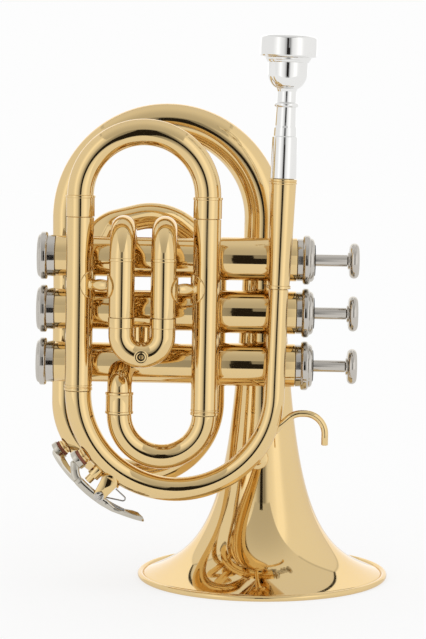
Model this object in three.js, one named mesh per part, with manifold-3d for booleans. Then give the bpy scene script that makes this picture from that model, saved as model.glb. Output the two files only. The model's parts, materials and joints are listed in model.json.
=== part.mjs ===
// A pocket trumpet that stands on its bell, in millimetres, +Z up.
// The valves and tubes share a body frame: X runs along the valves towards the finger buttons, Z along the
// leadpipe and Y away from the side with the first slide. The bell's axis meets its rim plane at X 0, Z 0.
import * as THREE from 'three';
import { mergeVertices } from 'three/addons/utils/BufferGeometryUtils.js';
import Module from 'manifold-3d';

const wasm = await Module();
wasm.setup();

// Fits, and how finely curves are stepped
const seat = 0.3; // gap between two pieces that rest on each other
const slideFit = 0.2; // gap between a slide's leg and the tube it runs in
const overrun = 1; // how far a cutter runs past what it cuts
const bodyLeanDegrees = 0.85; // the valves and tubes lean this much against the upright bell
const tubeSides = 10;
const turnedSides = 16;
const bendSag = 0.45; // how far a bend's straight steps may stray from its true curve
const coreShare = 2 / 3; // how deep a nipple reaches into the wall of the tube that it drains

// Depths of the planes that the tubes lie in, and heights of their joints
const bellPlane = 25;
const frontPlane = -17.5;
const firstSlidePlane = -30.6;
const bellJointHeight = 155;
const tailJointHeight = 132.4;

const bell = {
  rimRadius: 61.2,
  tailRadius: 9.9,
  flareOffset: 11.4, // the flare's pole lies this far below the rim plane
  wall: 0.6,
  beadRadius: 1.2,
  footWidth: 0.9, // flat of the rolled rim, which the instrument stands on
  sides: 32,
  stationCount: 11,
};
const bellBow = {
  outset: 8.8, // its left leg stands this far outside the leadpipe bow's
  rise: 75.2, // from its joint with the bell to its top
  tailRadius: 6.4,
  wall: 0.6,
  collarRadius: 10.6,
  collarLength: 7,
};
const tailBow = {
  spacing: 71.4, // between its two legs
  bottomRise: 0.6, // its lowest point lies this much above the leadpipe bow's
  radius: 6.4,
  wall: 0.6,
  collarRadius: 6.9,
  collarLength: 6,
};
// The crook's corners, from its port: X towards the finger buttons, rises above the first valve's axis
const crook = {
  portInset: 15.4,
  firstCornerRise: 2.3,
  topReach: 34.9,
  topRise: 21.2,
  topPlane: 22,
  dropReach: 7,
  dropRise: 14.2,
  dropPlane: 15,
  sideBendRadius: 27.4,
  dropBendRadius: 12,
  radius: 6.2,
};
const leadpipe = {
  leftX: -89.1, // its end under the tuning slide
  bendRadius: 46,
  drop: 36.9, // from the middle valve to the bow's centre
  leanDegrees: 1.2,
  straightLength: 50.6,
  topRadius: 4.6,
  footRadius: 4.95,
  endRadius: 6.2,
  wall: 0.6,
};
const receiver = {
  length: 51.1,
  lowRadius: 5.1,
  topRadius: 6.2,
  lowBoreRadius: 4,
  mouthRadius: 5.35,
  socketDepth: 24,
  ringRadius: 6.5,
  ringWidth: 2.2,
  lowRingRadius: 5.55,
  lowRingWidth: 1.4,
};
const mouthpiece = {
  rimRadius: 13.3,
  rimHeight: 8.3,
  rimRound: 1.6,
  rimCrestRadius: 11.2,
  cupMouthRadius: 8.4,
  cupDepth: 11.5,
  bodyRadius: 9.3,
  shoulderHeight: 1.7,
  bodyLength: 9.9,
  bowlLength: 6.1,
  neckRadius: 4.4,
  neckLength: 6.4,
  beadRadius: 5.65,
  beadWidth: 2.2,
  stemRadius: 4.8,
  stemLength: 8.6,
  stepRadius: 5.3,
  stepLength: 4.9,
  shankRadius: 5.85,
  shankFootRadius: 6.05,
  shankLength: 19.5,
  tenonTopRadius: 4.95,
  tenonEndRadius: 4.6,
  tenonLength: 22,
  throatRadius: 1.85,
  throatLength: 3.7,
  endBoreRadius: 3.9,
};
const tuning = {
  spacing: 59.3, // between its two legs
  jointRise: 19.3, // above the first valve's axis
  outerRadius: 6.4,
  wall: 0.55,
  ferruleRadius: 6.65,
  ferruleLength: 10,
  beadRadius: 6.95,
  beadWidth: 1.2,
  bowRadius: 6.2,
  legLength: 46,
};
const entryBow = {
  spacing: 39.9, // between its two legs
  gapOverLeadpipe: 3.35, // between its lowest side and the leadpipe bow under it
  radius: 5.8,
  wall: 0.55,
  ferruleRadius: 6.35,
  ferruleLength: 10,
  beadRadius: 6.65,
  beadWidth: 1.1,
  elbowBendRadius: 6,
  elbowRise: 14, // from the entry bow's centre to the corner where the elbow turns back
};
const valve = {
  count: 3,
  pitch: 25.2,
  middleHeight: 132.1,
  boreRadius: 8.6,
  casingRadius: 9.5,
  casingOutset: 12.3, // the casing starts this far outside the leadpipe's left end
  casingLength: 77.4, // its slim part, to the baluster
  balusterLength: 36.8,
  balusterRadius: 10.25,
  balusterRound: 0.8,
  spigotRadius: 9.15, // the thread under each cap
  spigotLength: 3.4,
};
const bottomCap = {
  skirtRadius: 9.8,
  skirtLength: 4,
  rimRadius: 11.3,
  rimLength: 3.2,
  rimRound: 0.9,
  crown: 1.4,
  crownRadius: 9.4,
  floor: 1.2,
  ventRadius: 1.5,
};
const topCap = {
  skirtRadius: 10,
  skirtLength: 2.9,
  rimRadius: 11.7,
  rimLength: 3.5,
  rimRound: 1.2,
  crown: 1.9,
  crownRadius: 9.6,
  floor: 1.3,
};
const piston = {
  inset: 9.2, // from the casing's start
  radius: 8.3,
  wall: 0.8,
  bodyLength: 52,
  divider: 1.5,
  barrelLength: 34,
  windwayRadius: 5.9,
  windwayBore: 5.3,
  travel: 15.5,
};
const guide = { thickness: 2.4, width: 2.6, discRadius: 6.6 };
const spring = { wireRadius: 0.45, coilRadius: 5.6, turnCount: 5, stepsPerTurn: 8, wireSides: 4 };
const stem = { radius: 2.8, tenonRadius: 1.9, tenonLength: 4 };
const button = {
  radius: 8.4,
  thickness: 5.2,
  gapToCap: 16,
  roundShare: 0.34,
  hollow: 1.1,
  hubRadius: 4,
  hubLength: 0.8,
};
const knuckle = { radius: 5.8, wall: 0.55, upperInset: 51.3, lowerInset: 41.2 };
const valveSlide = {
  outerRadius: 5.9,
  wall: 0.5,
  ferruleRadius: 6.15,
  ferruleLength: 4.6,
  beadRadius: 6.15,
  beadWidth: 1.1,
};
// The valve slides: insets are from the casing's start to the left leg, end gaps lie beyond the inner legs.
const firstSlide = {
  inset: 32.6,
  spacing: 19.2,
  bendRise: 14.5, // above the first valve's axis
  tubeLength: 25.2, // straight part of each outer tube
  legEndGap: 4.2,
  bowLength: 8.1, // straight part between joint and bend
};
const firstKnob = {
  radius: 3.3,
  thickness: 1.5,
  neckRadius: 1.7,
  neckLength: 0.9,
  dimpleRadius: 0.9,
  dimpleDepth: 0.5,
};
const secondSlide = { inset: 31.6, spacing: 19.2, tubeLength: 6.1, legEndGap: 1.1, bowLength: 3.2 };
const thirdSlide = {
  inset: 29.7,
  spacing: 20.8,
  plane: 50,
  cornerRadius: 9,
  tubeLength: 24.1,
  legEndGap: 1.1,
  bowLength: 5.2,
};
// The slide braces: a flange's degrees go from the X direction towards the front, round its tube.
const brace = {
  mainFlangeRadius: 6.9,
  mainFlangeDegrees: 22,
  slideFlangeRadius: 5.8,
  slideFlangeDegrees: -7,
  padThickness: 0.7,
  rodRadius: 2.8,
  rodEndRadius: 1.9,
  leftRise: 14.1, // above the first slide's joint
  rightRise: 12.8,
  bellBraceDegrees: -42,
  bellBraceDrop: 6.4, // the rod falls this much on its way to the bell
  bellBraceRodRadius: 2.2,
  bellBraceWaistRadius: 1.7,
  bellBraceFlangeRadius: 5.2,
};
// The finger hook's corners, from the right of the leadpipe bow's centre line, level with its centre
const hook = {
  wireRadius: 1.65,
  startReach: 0.1,
  startDrop: 17.6,
  crestReach: 9.7,
  crestDrop: 9,
  endReach: 24.2,
  endDrop: 23.9,
  crestBendRadius: 9,
  endBendRadius: 9.6,
};
// The water key: rises are from the leadpipe's centre line, and degrees go round the leadpipe bow's centre.
const waterKey = {
  outwardDegrees: 217, // the nipples, corks and cups all face this way
  bellPlaceDegrees: 212.3,
  leadPlaceDegrees: 215.5,
  nippleRadius: 3.6,
  nippleBore: 1.8,
  mouthDistance: 7.6, // from the centre of the tube
  corkRadius: 3.9,
  corkLength: 2.3,
  cupRadius: 4.6,
  cupDepth: 1.3,
  cupFloor: 1.3,
  leverRise: 17.5,
  leverThickness: 1.6,
  leverWidth: 3.6,
  leverPlane: -18.8,
  bladeInset: 0.6,
  bladeWidth: 9,
  bladeOverlapDegrees: 2,
  stepDegrees: 4,
  armRadius: 1.5,
  armDegrees: 223,
  forkDegrees: 222,
  bladeStartDegrees: 243,
  bladeEndDegrees: 257,
  pivotDegrees: 234.4,
  pivotRise: 14.7,
  pivotRadius: 1.1,
  barrelRadius: 2.4,
  barrelLength: 3.6,
  lugThickness: 1.6,
  lugTipRadius: 2.6,
  lugBaseRadius: 3.9,
  lugBaseRise: 7.3,
  lugGap: 6.8,
  footRadius: 5.2,
  headRadius: 2.5,
  headLength: 1.2,
  stopDegrees: 226.2,
  stopRise: 13.2,
  stopRadius: 1.9,
  stopBaseRadius: 3.1,
  stopBaseRise: 9.8,
  springWire: 0.35,
  springSides: 6,
  springPlane: -15.8,
  springFootDegrees: 239.3,
  springFootGap: 0.95,
  springApexDegrees: 248.7,
  springApexRise: 10.9,
  springTipTurnDegrees: 2.6,
  springBendRadius: 1.1,
};

// Places that follow from those sizes
const lean = THREE.MathUtils.degToRad(bodyLeanDegrees);
const casingStartX = leadpipe.leftX - valve.casingOutset;
const balusterStartX = casingStartX + valve.casingLength;
const balusterEndX = balusterStartX + valve.balusterLength;
const bowCentreX = leadpipe.leftX + leadpipe.bendRadius;
const bowCentreHeight = valve.middleHeight - leadpipe.drop;
const bowBottomHeight = bowCentreHeight - leadpipe.bendRadius;
const bellLeftX = leadpipe.leftX - bellBow.outset;
const tailRightX = bellLeftX + tailBow.spacing;
const tailBendRadius = tailBow.spacing / 2;
const tailCentreHeight = bowBottomHeight + tailBow.bottomRise + tailBendRadius;
const tuningRightX = leadpipe.leftX + tuning.spacing;
const entryLeftX = tuningRightX - entryBow.spacing;
const entryBendRadius = entryBow.spacing / 2;
const entryBottomHeight = bowBottomHeight + leadpipe.endRadius + entryBow.gapOverLeadpipe + entryBow.radius;
const entryCentreHeight = entryBottomHeight + entryBendRadius;
const crookPortX = casingStartX + crook.portInset;
const knuckleUpperX = casingStartX + knuckle.upperInset;
const knuckleLowerX = casingStartX + knuckle.lowerInset;
const firstBendRadius = -firstSlidePlane / 2;
const leftLegX = ({ inset }) => casingStartX + inset;
const rightLegX = ({ inset, spacing }) => casingStartX + inset + spacing;

const xAxis = new THREE.Vector3(1, 0, 0);
const yAxis = new THREE.Vector3(0, 1, 0);
const zAxis = new THREE.Vector3(0, 0, 1);

const at = (x, y, z) => new THREE.Vector3(x, y, z);
const inPlane = (degrees) => {
  const angle = THREE.MathUtils.degToRad(degrees);
  return at(Math.cos(angle), 0, Math.sin(angle));
};
const valveHeight = (number) => valve.middleHeight + (2 - number) * valve.pitch;
const tuningJointHeight = valveHeight(1) + tuning.jointRise;
const firstBendTop = valveHeight(1) + firstSlide.bendRise;
const firstJointHeight = firstBendTop - firstBendRadius - firstSlide.tubeLength;
const secondJointPlane = valve.casingRadius + secondSlide.tubeLength;
const thirdJointHeight = valveHeight(3) + thirdSlide.cornerRadius + thirdSlide.tubeLength;

// Materials

const finishes = {
  brass: { color: 0xe0b468, roughness: 0.12, metalness: 1 },
  silver: { color: 0xe9e8e4, roughness: 0.1, metalness: 1 },
  nickel: { color: 0xc9c3b8, roughness: 0.22, metalness: 1 },
  steel: { color: 0xb4b4b2, roughness: 0.3, metalness: 1 },
  cork: { color: 0x8a4a34, roughness: 0.85, metalness: 0 },
};

function piece(name, geometry, finish) {
  geometry.computeVertexNormals();
  const mesh = new THREE.Mesh(geometry, new THREE.MeshStandardMaterial(finishes[finish]));
  mesh.name = name;
  return mesh;
}

// Solids: joining and cutting

function solidOf(geometry) {
  const loose = geometry.index ? geometry.toNonIndexed() : geometry;
  const bare = new THREE.BufferGeometry().setAttribute('position', loose.getAttribute('position'));
  const merged = mergeVertices(bare);
  return new wasm.Manifold(
    new wasm.Mesh({
      numProp: 3,
      vertProperties: merged.attributes.position.array,
      triVerts: new Uint32Array(merged.index.array),
    }),
  );
}

function geometryOf(solid) {
  const mesh = solid.getMesh();
  const geometry = new THREE.BufferGeometry();
  geometry.setAttribute('position', new THREE.BufferAttribute(mesh.vertProperties, 3));
  geometry.setIndex(new THREE.BufferAttribute(mesh.triVerts, 1));
  return geometry.toNonIndexed();
}

const join = (solids) => solids.reduce((whole, next) => whole.add(next));
const cut = (solid, cutters) => cutters.reduce((rest, cutter) => rest.subtract(cutter), solid);

// Routes: a polyline with rounded corners, as stations with a place, a heading and the distance covered

function route(corners, bendRadii) {
  const stations = [];
  const put = (place, heading) => {
    const last = stations.at(-1);
    const distance = last ? last.distance + last.place.distanceTo(place) : 0;
    stations.push({ place: place.clone(), heading: heading.clone(), distance });
  };
  const headings = corners.slice(1).map((corner, i) => corner.clone().sub(corners[i]).normalize());
  put(corners[0], headings[0]);
  bendRadii.forEach((bendRadius, i) => {
    const [before, after] = [headings[i], headings[i + 1]];
    const turn = before.angleTo(after);
    const axis = before.clone().cross(after).normalize();
    const start = corners[i + 1].clone().addScaledVector(before, -bendRadius * Math.tan(turn / 2));
    const toCentre = axis.clone().cross(before).multiplyScalar(bendRadius);
    const stepAngle = 2 * Math.acos(1 - bendSag / bendRadius);
    const stepCount = Math.max(2, Math.ceil(turn / stepAngle));
    const reached = stations.at(-1).place.distanceTo(start) < bendRadius / stepCount / stepCount;
    for (let step = reached ? 1 : 0; step <= stepCount; step++) {
      const angle = (turn * step) / stepCount;
      const spoke = toCentre.clone().negate().applyAxisAngle(axis, angle);
      put(start.clone().add(toCentre).add(spoke), before.clone().applyAxisAngle(axis, angle));
    }
  });
  if (stations.at(-1).place.distanceTo(corners.at(-1)) > seat) put(corners.at(-1), headings.at(-1));
  return withSides(stations);
}

// Gives each station a side direction that turns as little as possible along the route.
function withSides(stations) {
  let side = Math.abs(stations[0].heading.y) < Math.SQRT1_2 ? yAxis.clone() : zAxis.clone();
  for (const station of stations) {
    side = side.clone().projectOnPlane(station.heading).normalize();
    station.side = side;
  }
  return stations;
}

function stationAt(stations, distance) {
  const next = stations.findIndex((station) => station.distance > distance);
  if (next < 1) return next === 0 ? stations[0] : stations.at(-1);
  const [from, to] = [stations[next - 1], stations[next]];
  const share = (distance - from.distance) / (to.distance - from.distance);
  const blend = (key) => from[key].clone().lerp(to[key], share);
  const heading = blend('heading').normalize();
  return { place: blend('place'), heading, side: blend('side').normalize(), distance };
}

// Rings along a route: a profile lists distances and radii, and two radii at one distance make a step.
function ringsAlong(stations, profile) {
  const rings = [{ ...stationAt(stations, profile[0][0]), radius: profile[0][1] }];
  for (let i = 1; i < profile.length; i++) {
    const [[fromDistance, fromRadius], [toDistance, toRadius]] = [profile[i - 1], profile[i]];
    const isBetween = ({ distance }) => distance > fromDistance + seat && distance < toDistance - seat;
    for (const station of stations.filter(isBetween)) {
      const share = (station.distance - fromDistance) / (toDistance - fromDistance);
      rings.push({ ...station, radius: THREE.MathUtils.lerp(fromRadius, toRadius, share) });
    }
    rings.push({ ...stationAt(stations, toDistance), radius: toRadius });
  }
  return rings;
}

function ringPoints(ring, sides) {
  const up = ring.heading.clone().cross(ring.side);
  return Array.from({ length: sides }, (_, i) => {
    const angle = Math.PI / 2 + (2 * Math.PI * i) / sides;
    const along = ring.side.clone().multiplyScalar(Math.cos(angle)).addScaledVector(up, Math.sin(angle));
    return ring.place.clone().addScaledVector(along, ring.radius);
  });
}

function bandsBetween(rows, closed) {
  const triangles = [];
  const last = closed ? rows.length : rows.length - 1;
  for (let i = 0; i < last; i++) {
    const [row, next] = [rows[i], rows[(i + 1) % rows.length]];
    row.forEach((corner, j) => {
      const k = (j + 1) % row.length;
      triangles.push(corner, row[k], next[k], corner, next[k], next[j]);
    });
  }
  return triangles;
}

// A hollow tube: its outer rings, and its bore's rings back again, closed into a loop.
function tube(stations, outerProfile, boreProfile, sides = tubeSides) {
  const length = stations.at(-1).distance;
  const outerRings = ringsAlong(stations, outerProfile(length));
  const boreRings = ringsAlong(stations, boreProfile(length)).reverse();
  const rows = [...outerRings, ...boreRings].map((ring) => ringPoints(ring, sides));
  return new THREE.BufferGeometry().setFromPoints(bandsBetween(rows, true));
}

const even = (radius) => (length) => [
  [0, radius],
  [length, radius],
];
const taper = (startRadius, endRadius) => (length) => [
  [0, startRadius],
  [length, endRadius],
];
const plainTube = (stations, radius, wall) => tube(stations, even(radius), even(radius - wall));

// A solid rod or wire along a route, with flat ends.
function rod(stations, profile, sides = tubeSides) {
  const rings = ringsAlong(stations, profile(stations.at(-1).distance));
  const rows = rings.map((ring) => ringPoints(ring, sides));
  const triangles = bandsBetween(rows, false);
  const [first, last] = [rows[0], rows.at(-1)];
  first.forEach((corner, j) => {
    const k = (j + 1) % sides;
    triangles.push(stations[0].place, first[k], corner);
    triangles.push(stations.at(-1).place, last[j], last[k]);
  });
  return new THREE.BufferGeometry().setFromPoints(triangles);
}

// Turned pieces: an outline of [distance along, radius] spun about the line from a place in a direction.
function turned(outline, place, direction, sides = turnedSides) {
  const profile = outline.map(([along, radius]) => new THREE.Vector2(radius, along));
  const geometry = new THREE.LatheGeometry(profile, sides);
  geometry.applyQuaternion(new THREE.Quaternion().setFromUnitVectors(yAxis, direction));
  return geometry.translate(place.x, place.y, place.z);
}

// A plain round cutter or bar from one place to another.
const bar = (from, to, radius, sides = turnedSides) => {
  const length = from.distanceTo(to);
  const outline = [
    [0, 0],
    [0, radius],
    [length, radius],
    [length, 0],
  ];
  return solidOf(turned(outline, from, to.clone().sub(from).normalize(), sides));
};

// Points of a quarter round between two straight faces of an outline, each given as [along, radius].
function quarterRound([fromAlong, fromRadius], [toAlong, toRadius], radiusFirst, stepCount = 3) {
  const points = [];
  for (let step = 0; step <= stepCount; step++) {
    const angle = (Math.PI / 2) * (step / stepCount);
    const [slow, quick] = [1 - Math.cos(angle), Math.sin(angle)];
    const [alongShare, radiusShare] = radiusFirst ? [slow, quick] : [quick, slow];
    points.push([
      THREE.MathUtils.lerp(fromAlong, toAlong, alongShare),
      THREE.MathUtils.lerp(fromRadius, toRadius, radiusShare),
    ]);
  }
  return points;
}

// Valve places

const onValve = (number, x) => at(x, 0, valveHeight(number));
const casingCutter = (number) =>
  bar(
    onValve(number, casingStartX - overrun),
    onValve(number, balusterStartX - seat),
    valve.casingRadius + seat,
  );

// Windways that open into each casing: the port's X, the direction it leaves in, and the tube's bore
const crookDrop = at(crookPortX + crook.dropReach, crook.dropPlane, valveHeight(1) + crook.dropRise);
const elbowCorner = at(entryLeftX, frontPlane, entryCentreHeight + entryBow.elbowRise);
const towards = (place, number, x) => place.clone().sub(onValve(number, x)).normalize();
const slideBore = valveSlide.outerRadius - valveSlide.wall;
const knuckleBore = knuckle.radius - knuckle.wall;
const crookBore = crook.radius - tailBow.wall;
const entryBore = entryBow.radius - entryBow.wall;
const ports = [
  { valve: 1, x: crookPortX, direction: towards(crookDrop, 1, crookPortX), bore: crookBore },
  { valve: 1, x: leftLegX(firstSlide), direction: zAxis, bore: slideBore },
  { valve: 1, x: rightLegX(firstSlide), direction: zAxis, bore: slideBore },
  { valve: 1, x: knuckleUpperX, direction: zAxis.clone().negate(), bore: knuckleBore },
  { valve: 2, x: knuckleUpperX, direction: zAxis, bore: knuckleBore },
  { valve: 2, x: leftLegX(secondSlide), direction: yAxis, bore: slideBore },
  { valve: 2, x: rightLegX(secondSlide), direction: yAxis, bore: slideBore },
  { valve: 2, x: knuckleLowerX, direction: zAxis.clone().negate(), bore: knuckleBore },
  { valve: 3, x: knuckleLowerX, direction: zAxis, bore: knuckleBore },
  { valve: 3, x: leftLegX(thirdSlide), direction: yAxis, bore: slideBore },
  { valve: 3, x: rightLegX(thirdSlide), direction: yAxis, bore: slideBore },
  { valve: 3, x: entryLeftX, direction: towards(elbowCorner, 3, entryLeftX), bore: entryBore },
];

function portCutter({ valve: number, x, direction, bore }) {
  const reach = valve.casingRadius + overrun;
  return bar(onValve(number, x), onValve(number, x).addScaledVector(direction, reach), bore, tubeSides);
}

// Bell and its tubing

const bellX = -bellJointHeight * Math.tan(lean); // where the leaning bow stands over the upright bell
const bowBendRadius = (bellX - bellLeftX) / 2;

// The flare follows a power of the distance from its pole, so that it has the two radii it is given.
const flareExponentShare =
  Math.log(bell.rimRadius / bell.tailRadius) /
  Math.log((bellJointHeight + bell.flareOffset) / (bell.beadRadius + bell.flareOffset));
const flareRadius = (height) => {
  const shrinkage = (bellJointHeight + bell.flareOffset) / (height + bell.flareOffset);
  return bell.tailRadius * shrinkage ** flareExponentShare;
};

function bellGeometry() {
  const top = bellJointHeight - seat;
  const low = bell.beadRadius * 2;
  const growth = (top + bell.flareOffset) / (low + bell.flareOffset);
  const heights = Array.from(
    { length: bell.stationCount + 1 },
    (_, i) => (low + bell.flareOffset) * growth ** (i / bell.stationCount) - bell.flareOffset,
  );
  const outer = heights.map((height) => [height, flareRadius(height)]);
  const inner = heights.map((height) => {
    const slope = (-flareExponentShare * flareRadius(height)) / (height + bell.flareOffset);
    const steep = Math.hypot(1, slope);
    return [height + (bell.wall * slope) / steep, flareRadius(height) - bell.wall / steep];
  });
  inner[inner.length - 1] = [top, flareRadius(top) - bell.wall];
  const beadCentre = bell.rimRadius - bell.beadRadius;
  const bead = [45, 0, -45].map((degrees) => {
    const angle = THREE.MathUtils.degToRad(degrees);
    return [bell.beadRadius * (1 + Math.sin(angle)), beadCentre + bell.beadRadius * Math.cos(angle)];
  });
  const footEdge = [0, beadCentre + bell.footWidth / 2];
  const foot = [0, beadCentre - bell.footWidth / 2];
  const outline = [foot, ...inner.slice(1), ...outer.slice(1).reverse(), ...bead, footEdge, foot].reverse();
  return turned(outline, at(0, bellPlane, 0), zAxis, bell.sides);
}

function bellBowGeometry() {
  const top = bellJointHeight + bellBow.rise - (bell.tailRadius + bellBow.tailRadius) / 2;
  const corners = [
    at(bellX, bellPlane, bellJointHeight),
    at(bellX, bellPlane, top),
    at(bellLeftX, bellPlane, top),
    at(bellLeftX, bellPlane, tailJointHeight + seat),
  ];
  const outer = (length) => [
    [0, bellBow.collarRadius],
    [bellBow.collarLength, bellBow.collarRadius],
    [bellBow.collarLength, bell.tailRadius],
    [length - tailBow.collarLength, bellBow.tailRadius],
    [length - tailBow.collarLength, tailBow.collarRadius],
    [length, tailBow.collarRadius],
  ];
  const bore = taper(bell.tailRadius - bellBow.wall, bellBow.tailRadius - bellBow.wall);
  return tube(route(corners, [bowBendRadius, bowBendRadius]), outer, bore, turnedSides);
}

function tailBowGeometry() {
  const low = bowBottomHeight + tailBow.bottomRise;
  const corners = [
    at(bellLeftX, bellPlane, tailJointHeight),
    at(bellLeftX, bellPlane, low),
    at(tailRightX, bellPlane, low),
    at(tailRightX, bellPlane, tailJointHeight),
  ];
  const stations = route(corners, [tailBendRadius, tailBendRadius]);
  const core = rod(stations, even(tailBow.radius - tailBow.wall * coreShare));
  return withNipple(plainTube(stations, tailBow.radius, tailBow.wall), core, keyPlaces.bell);
}

function crookGeometry() {
  const corners = [
    at(tailRightX, bellPlane, tailJointHeight + seat),
    at(tailRightX, bellPlane, valveHeight(1) + crook.firstCornerRise),
    at(crookPortX + crook.topReach, crook.topPlane, valveHeight(1) + crook.topRise),
    crookDrop,
    onValve(1, crookPortX),
  ];
  const stations = route(corners, [crook.sideBendRadius, crook.sideBendRadius, crook.dropBendRadius]);
  const outer = (length) => [
    [0, tailBow.collarRadius],
    [tailBow.collarLength, tailBow.collarRadius],
    [tailBow.collarLength, tailBow.radius],
    [length, crook.radius],
  ];
  const solid = solidOf(tube(stations, outer, even(crookBore)));
  return geometryOf(solid.subtract(casingCutter(1)));
}

// Leadpipe: straight under the receiver, then one large bow round to the tuning slide

const leadAngle = THREE.MathUtils.degToRad(leadpipe.leanDegrees);
const leadDirection = at(Math.sin(leadAngle), 0, Math.cos(leadAngle));
const onBow = (degrees, rise = 0) =>
  at(bowCentreX, frontPlane, bowCentreHeight).addScaledVector(inPlane(degrees), leadpipe.bendRadius + rise);
const leadFoot = onBow(-leadpipe.leanDegrees);
const onLeadpipe = (distance) => leadFoot.clone().addScaledVector(leadDirection, distance);
const keyPlaces = {
  lead: onBow(waterKey.leadPlaceDegrees),
  bell: at(bellLeftX + tailBendRadius, bellPlane, tailCentreHeight).addScaledVector(
    inPlane(waterKey.bellPlaceDegrees),
    tailBendRadius,
  ),
};

function leadpipeStations() {
  const { bendRadius, leftX, straightLength } = leadpipe;
  const corners = [
    onLeadpipe(straightLength - seat),
    onLeadpipe(-bendRadius * Math.tan((Math.PI / 2 - leadAngle) / 2)),
    at(leftX, frontPlane, bowBottomHeight),
    at(leftX, frontPlane, bowCentreHeight),
  ];
  return route(corners, [bendRadius, bendRadius]);
}

// The leadpipe's outside, grown by a margin.
const leadpipeOutside = (margin) => (length) => [
  [0, leadpipe.topRadius + margin],
  [leadpipe.straightLength - seat, leadpipe.footRadius + margin],
  [length, leadpipe.endRadius + margin],
];
const leadpipeCutter = () => solidOf(rod(leadpipeStations(), leadpipeOutside(seat)));

function leadpipeGeometry() {
  const stations = leadpipeStations();
  const pipe = tube(stations, leadpipeOutside(0), leadpipeOutside(-leadpipe.wall));
  const core = rod(stations, leadpipeOutside(-leadpipe.wall * coreShare));
  return withNipple(pipe, core, keyPlaces.lead);
}

function receiverGeometry() {
  const { length, lowRadius, topRadius, lowRingRadius, lowRingWidth, ringRadius, ringWidth } = receiver;
  const { lowBoreRadius, mouthRadius, socketDepth } = receiver;
  const groove = ringWidth / 4;
  const outline = [
    [0, lowBoreRadius],
    [0, lowRingRadius],
    [lowRingWidth, lowRingRadius],
    [lowRingWidth, lowRadius],
    [length - ringWidth, topRadius],
    [length - ringWidth, ringRadius],
    [length - groove, ringRadius],
    [length, topRadius],
    [length, mouthRadius],
    [length - socketDepth, mouthpiece.tenonEndRadius + seat],
    [length - socketDepth, lowBoreRadius],
    [0, lowBoreRadius],
  ];
  return turned(outline, onLeadpipe(leadpipe.straightLength), leadDirection);
}

// The outline runs from the end of the shank up the outside, over the rim and down through the cup and throat.
function mouthpieceGeometry() {
  const m = mouthpiece;
  const shankBase = receiver.length + seat;
  const shankTop = shankBase + m.shankLength;
  const stepTop = shankTop + m.stepLength;
  const stemTop = stepTop + m.stemLength;
  const beadTop = stemTop + m.beadWidth;
  const neckTop = beadTop + m.neckLength;
  const bowlTop = neckTop + m.bowlLength;
  const rimBase = bowlTop + m.bodyLength;
  const rimTop = rimBase + m.rimHeight;
  const tenonEnd = shankBase - m.tenonLength;
  const cupBottom = rimTop - m.cupDepth;
  const outline = [
    [tenonEnd, m.endBoreRadius],
    [tenonEnd, m.tenonEndRadius],
    [shankBase, m.tenonTopRadius],
    [shankBase, m.shankFootRadius],
    [shankTop, m.shankRadius],
    [shankTop, m.stepRadius],
    [stepTop, m.stemRadius],
    [stemTop, m.stemRadius],
    [stemTop + m.beadWidth / 2, m.beadRadius],
    [beadTop, m.neckRadius],
    [neckTop, m.neckRadius],
    ...quarterRound([neckTop + seat, m.neckRadius + m.beadWidth / 2], [bowlTop, m.bodyRadius - seat], true),
    [rimBase - m.shoulderHeight, m.bodyRadius],
    [rimBase, m.bodyRadius + m.shoulderHeight],
    [rimBase, m.rimRadius - seat],
    [rimBase + seat * 2, m.rimRadius],
    ...quarterRound([rimTop - m.rimRound, m.rimRadius], [rimTop, m.rimCrestRadius], false, 2),
    [rimTop, m.rimCrestRadius - m.rimRound / 2],
    [rimTop - m.rimRound, m.cupMouthRadius],
    ...quarterRound([rimTop - m.rimRound - seat, m.cupMouthRadius], [cupBottom, m.throatRadius], false, 4),
    [cupBottom - m.throatLength, m.throatRadius],
    [tenonEnd, m.endBoreRadius],
  ];
  return turned(outline, onLeadpipe(leadpipe.straightLength), leadDirection);
}

// Main tuning slide

const tuningBore = tuning.outerRadius - tuning.wall;

function tuningTubeGeometry(x, low) {
  const corners = [at(x, frontPlane, low + seat), at(x, frontPlane, tuningJointHeight)];
  const outer = (length) => [
    [0, tuning.ferruleRadius],
    [tuning.beadWidth * 2, tuning.ferruleRadius],
    [tuning.beadWidth * 2, tuning.outerRadius],
    [length, tuning.outerRadius],
  ];
  return tube(route(corners, []), outer, even(tuningBore));
}

function tuningSlideGeometry() {
  const bendRadius = tuning.spacing / 2;
  const joint = tuningJointHeight + seat;
  const top = joint + tuning.ferruleLength + bendRadius;
  const corners = [
    at(leadpipe.leftX, frontPlane, joint - tuning.legLength),
    at(leadpipe.leftX, frontPlane, top),
    at(tuningRightX, frontPlane, top),
    at(tuningRightX, frontPlane, joint - tuning.legLength),
  ];
  const legRadius = tuningBore - slideFit;
  const ferruled = slideProfile(legRadius, tuning.legLength, tuning, tuning.bowRadius);
  const stations = route(corners, [bendRadius, bendRadius]);
  return tube(stations, ferruled, even(legRadius - tuning.wall));
}

// The outside of a slide: inner leg, ferrule with its bead, bow, and the same back again.
function slideProfile(legRadius, legLength, ferrule, bowRadius) {
  const { ferruleRadius, ferruleLength, beadRadius, beadWidth } = ferrule;
  const ferruleEnd = legLength + ferruleLength;
  const half = [
    [0, legRadius],
    [legLength, legRadius],
    [legLength, ferruleRadius],
    [ferruleEnd - beadWidth, ferruleRadius],
    [ferruleEnd - beadWidth, beadRadius],
    [ferruleEnd, beadRadius],
    [ferruleEnd, bowRadius],
  ];
  const mirrored = (length) => half.map(([distance, radius]) => [length - distance, radius]).reverse();
  return (length) => [...half, ...mirrored(length)];
}

// Entry to the valves

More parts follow.
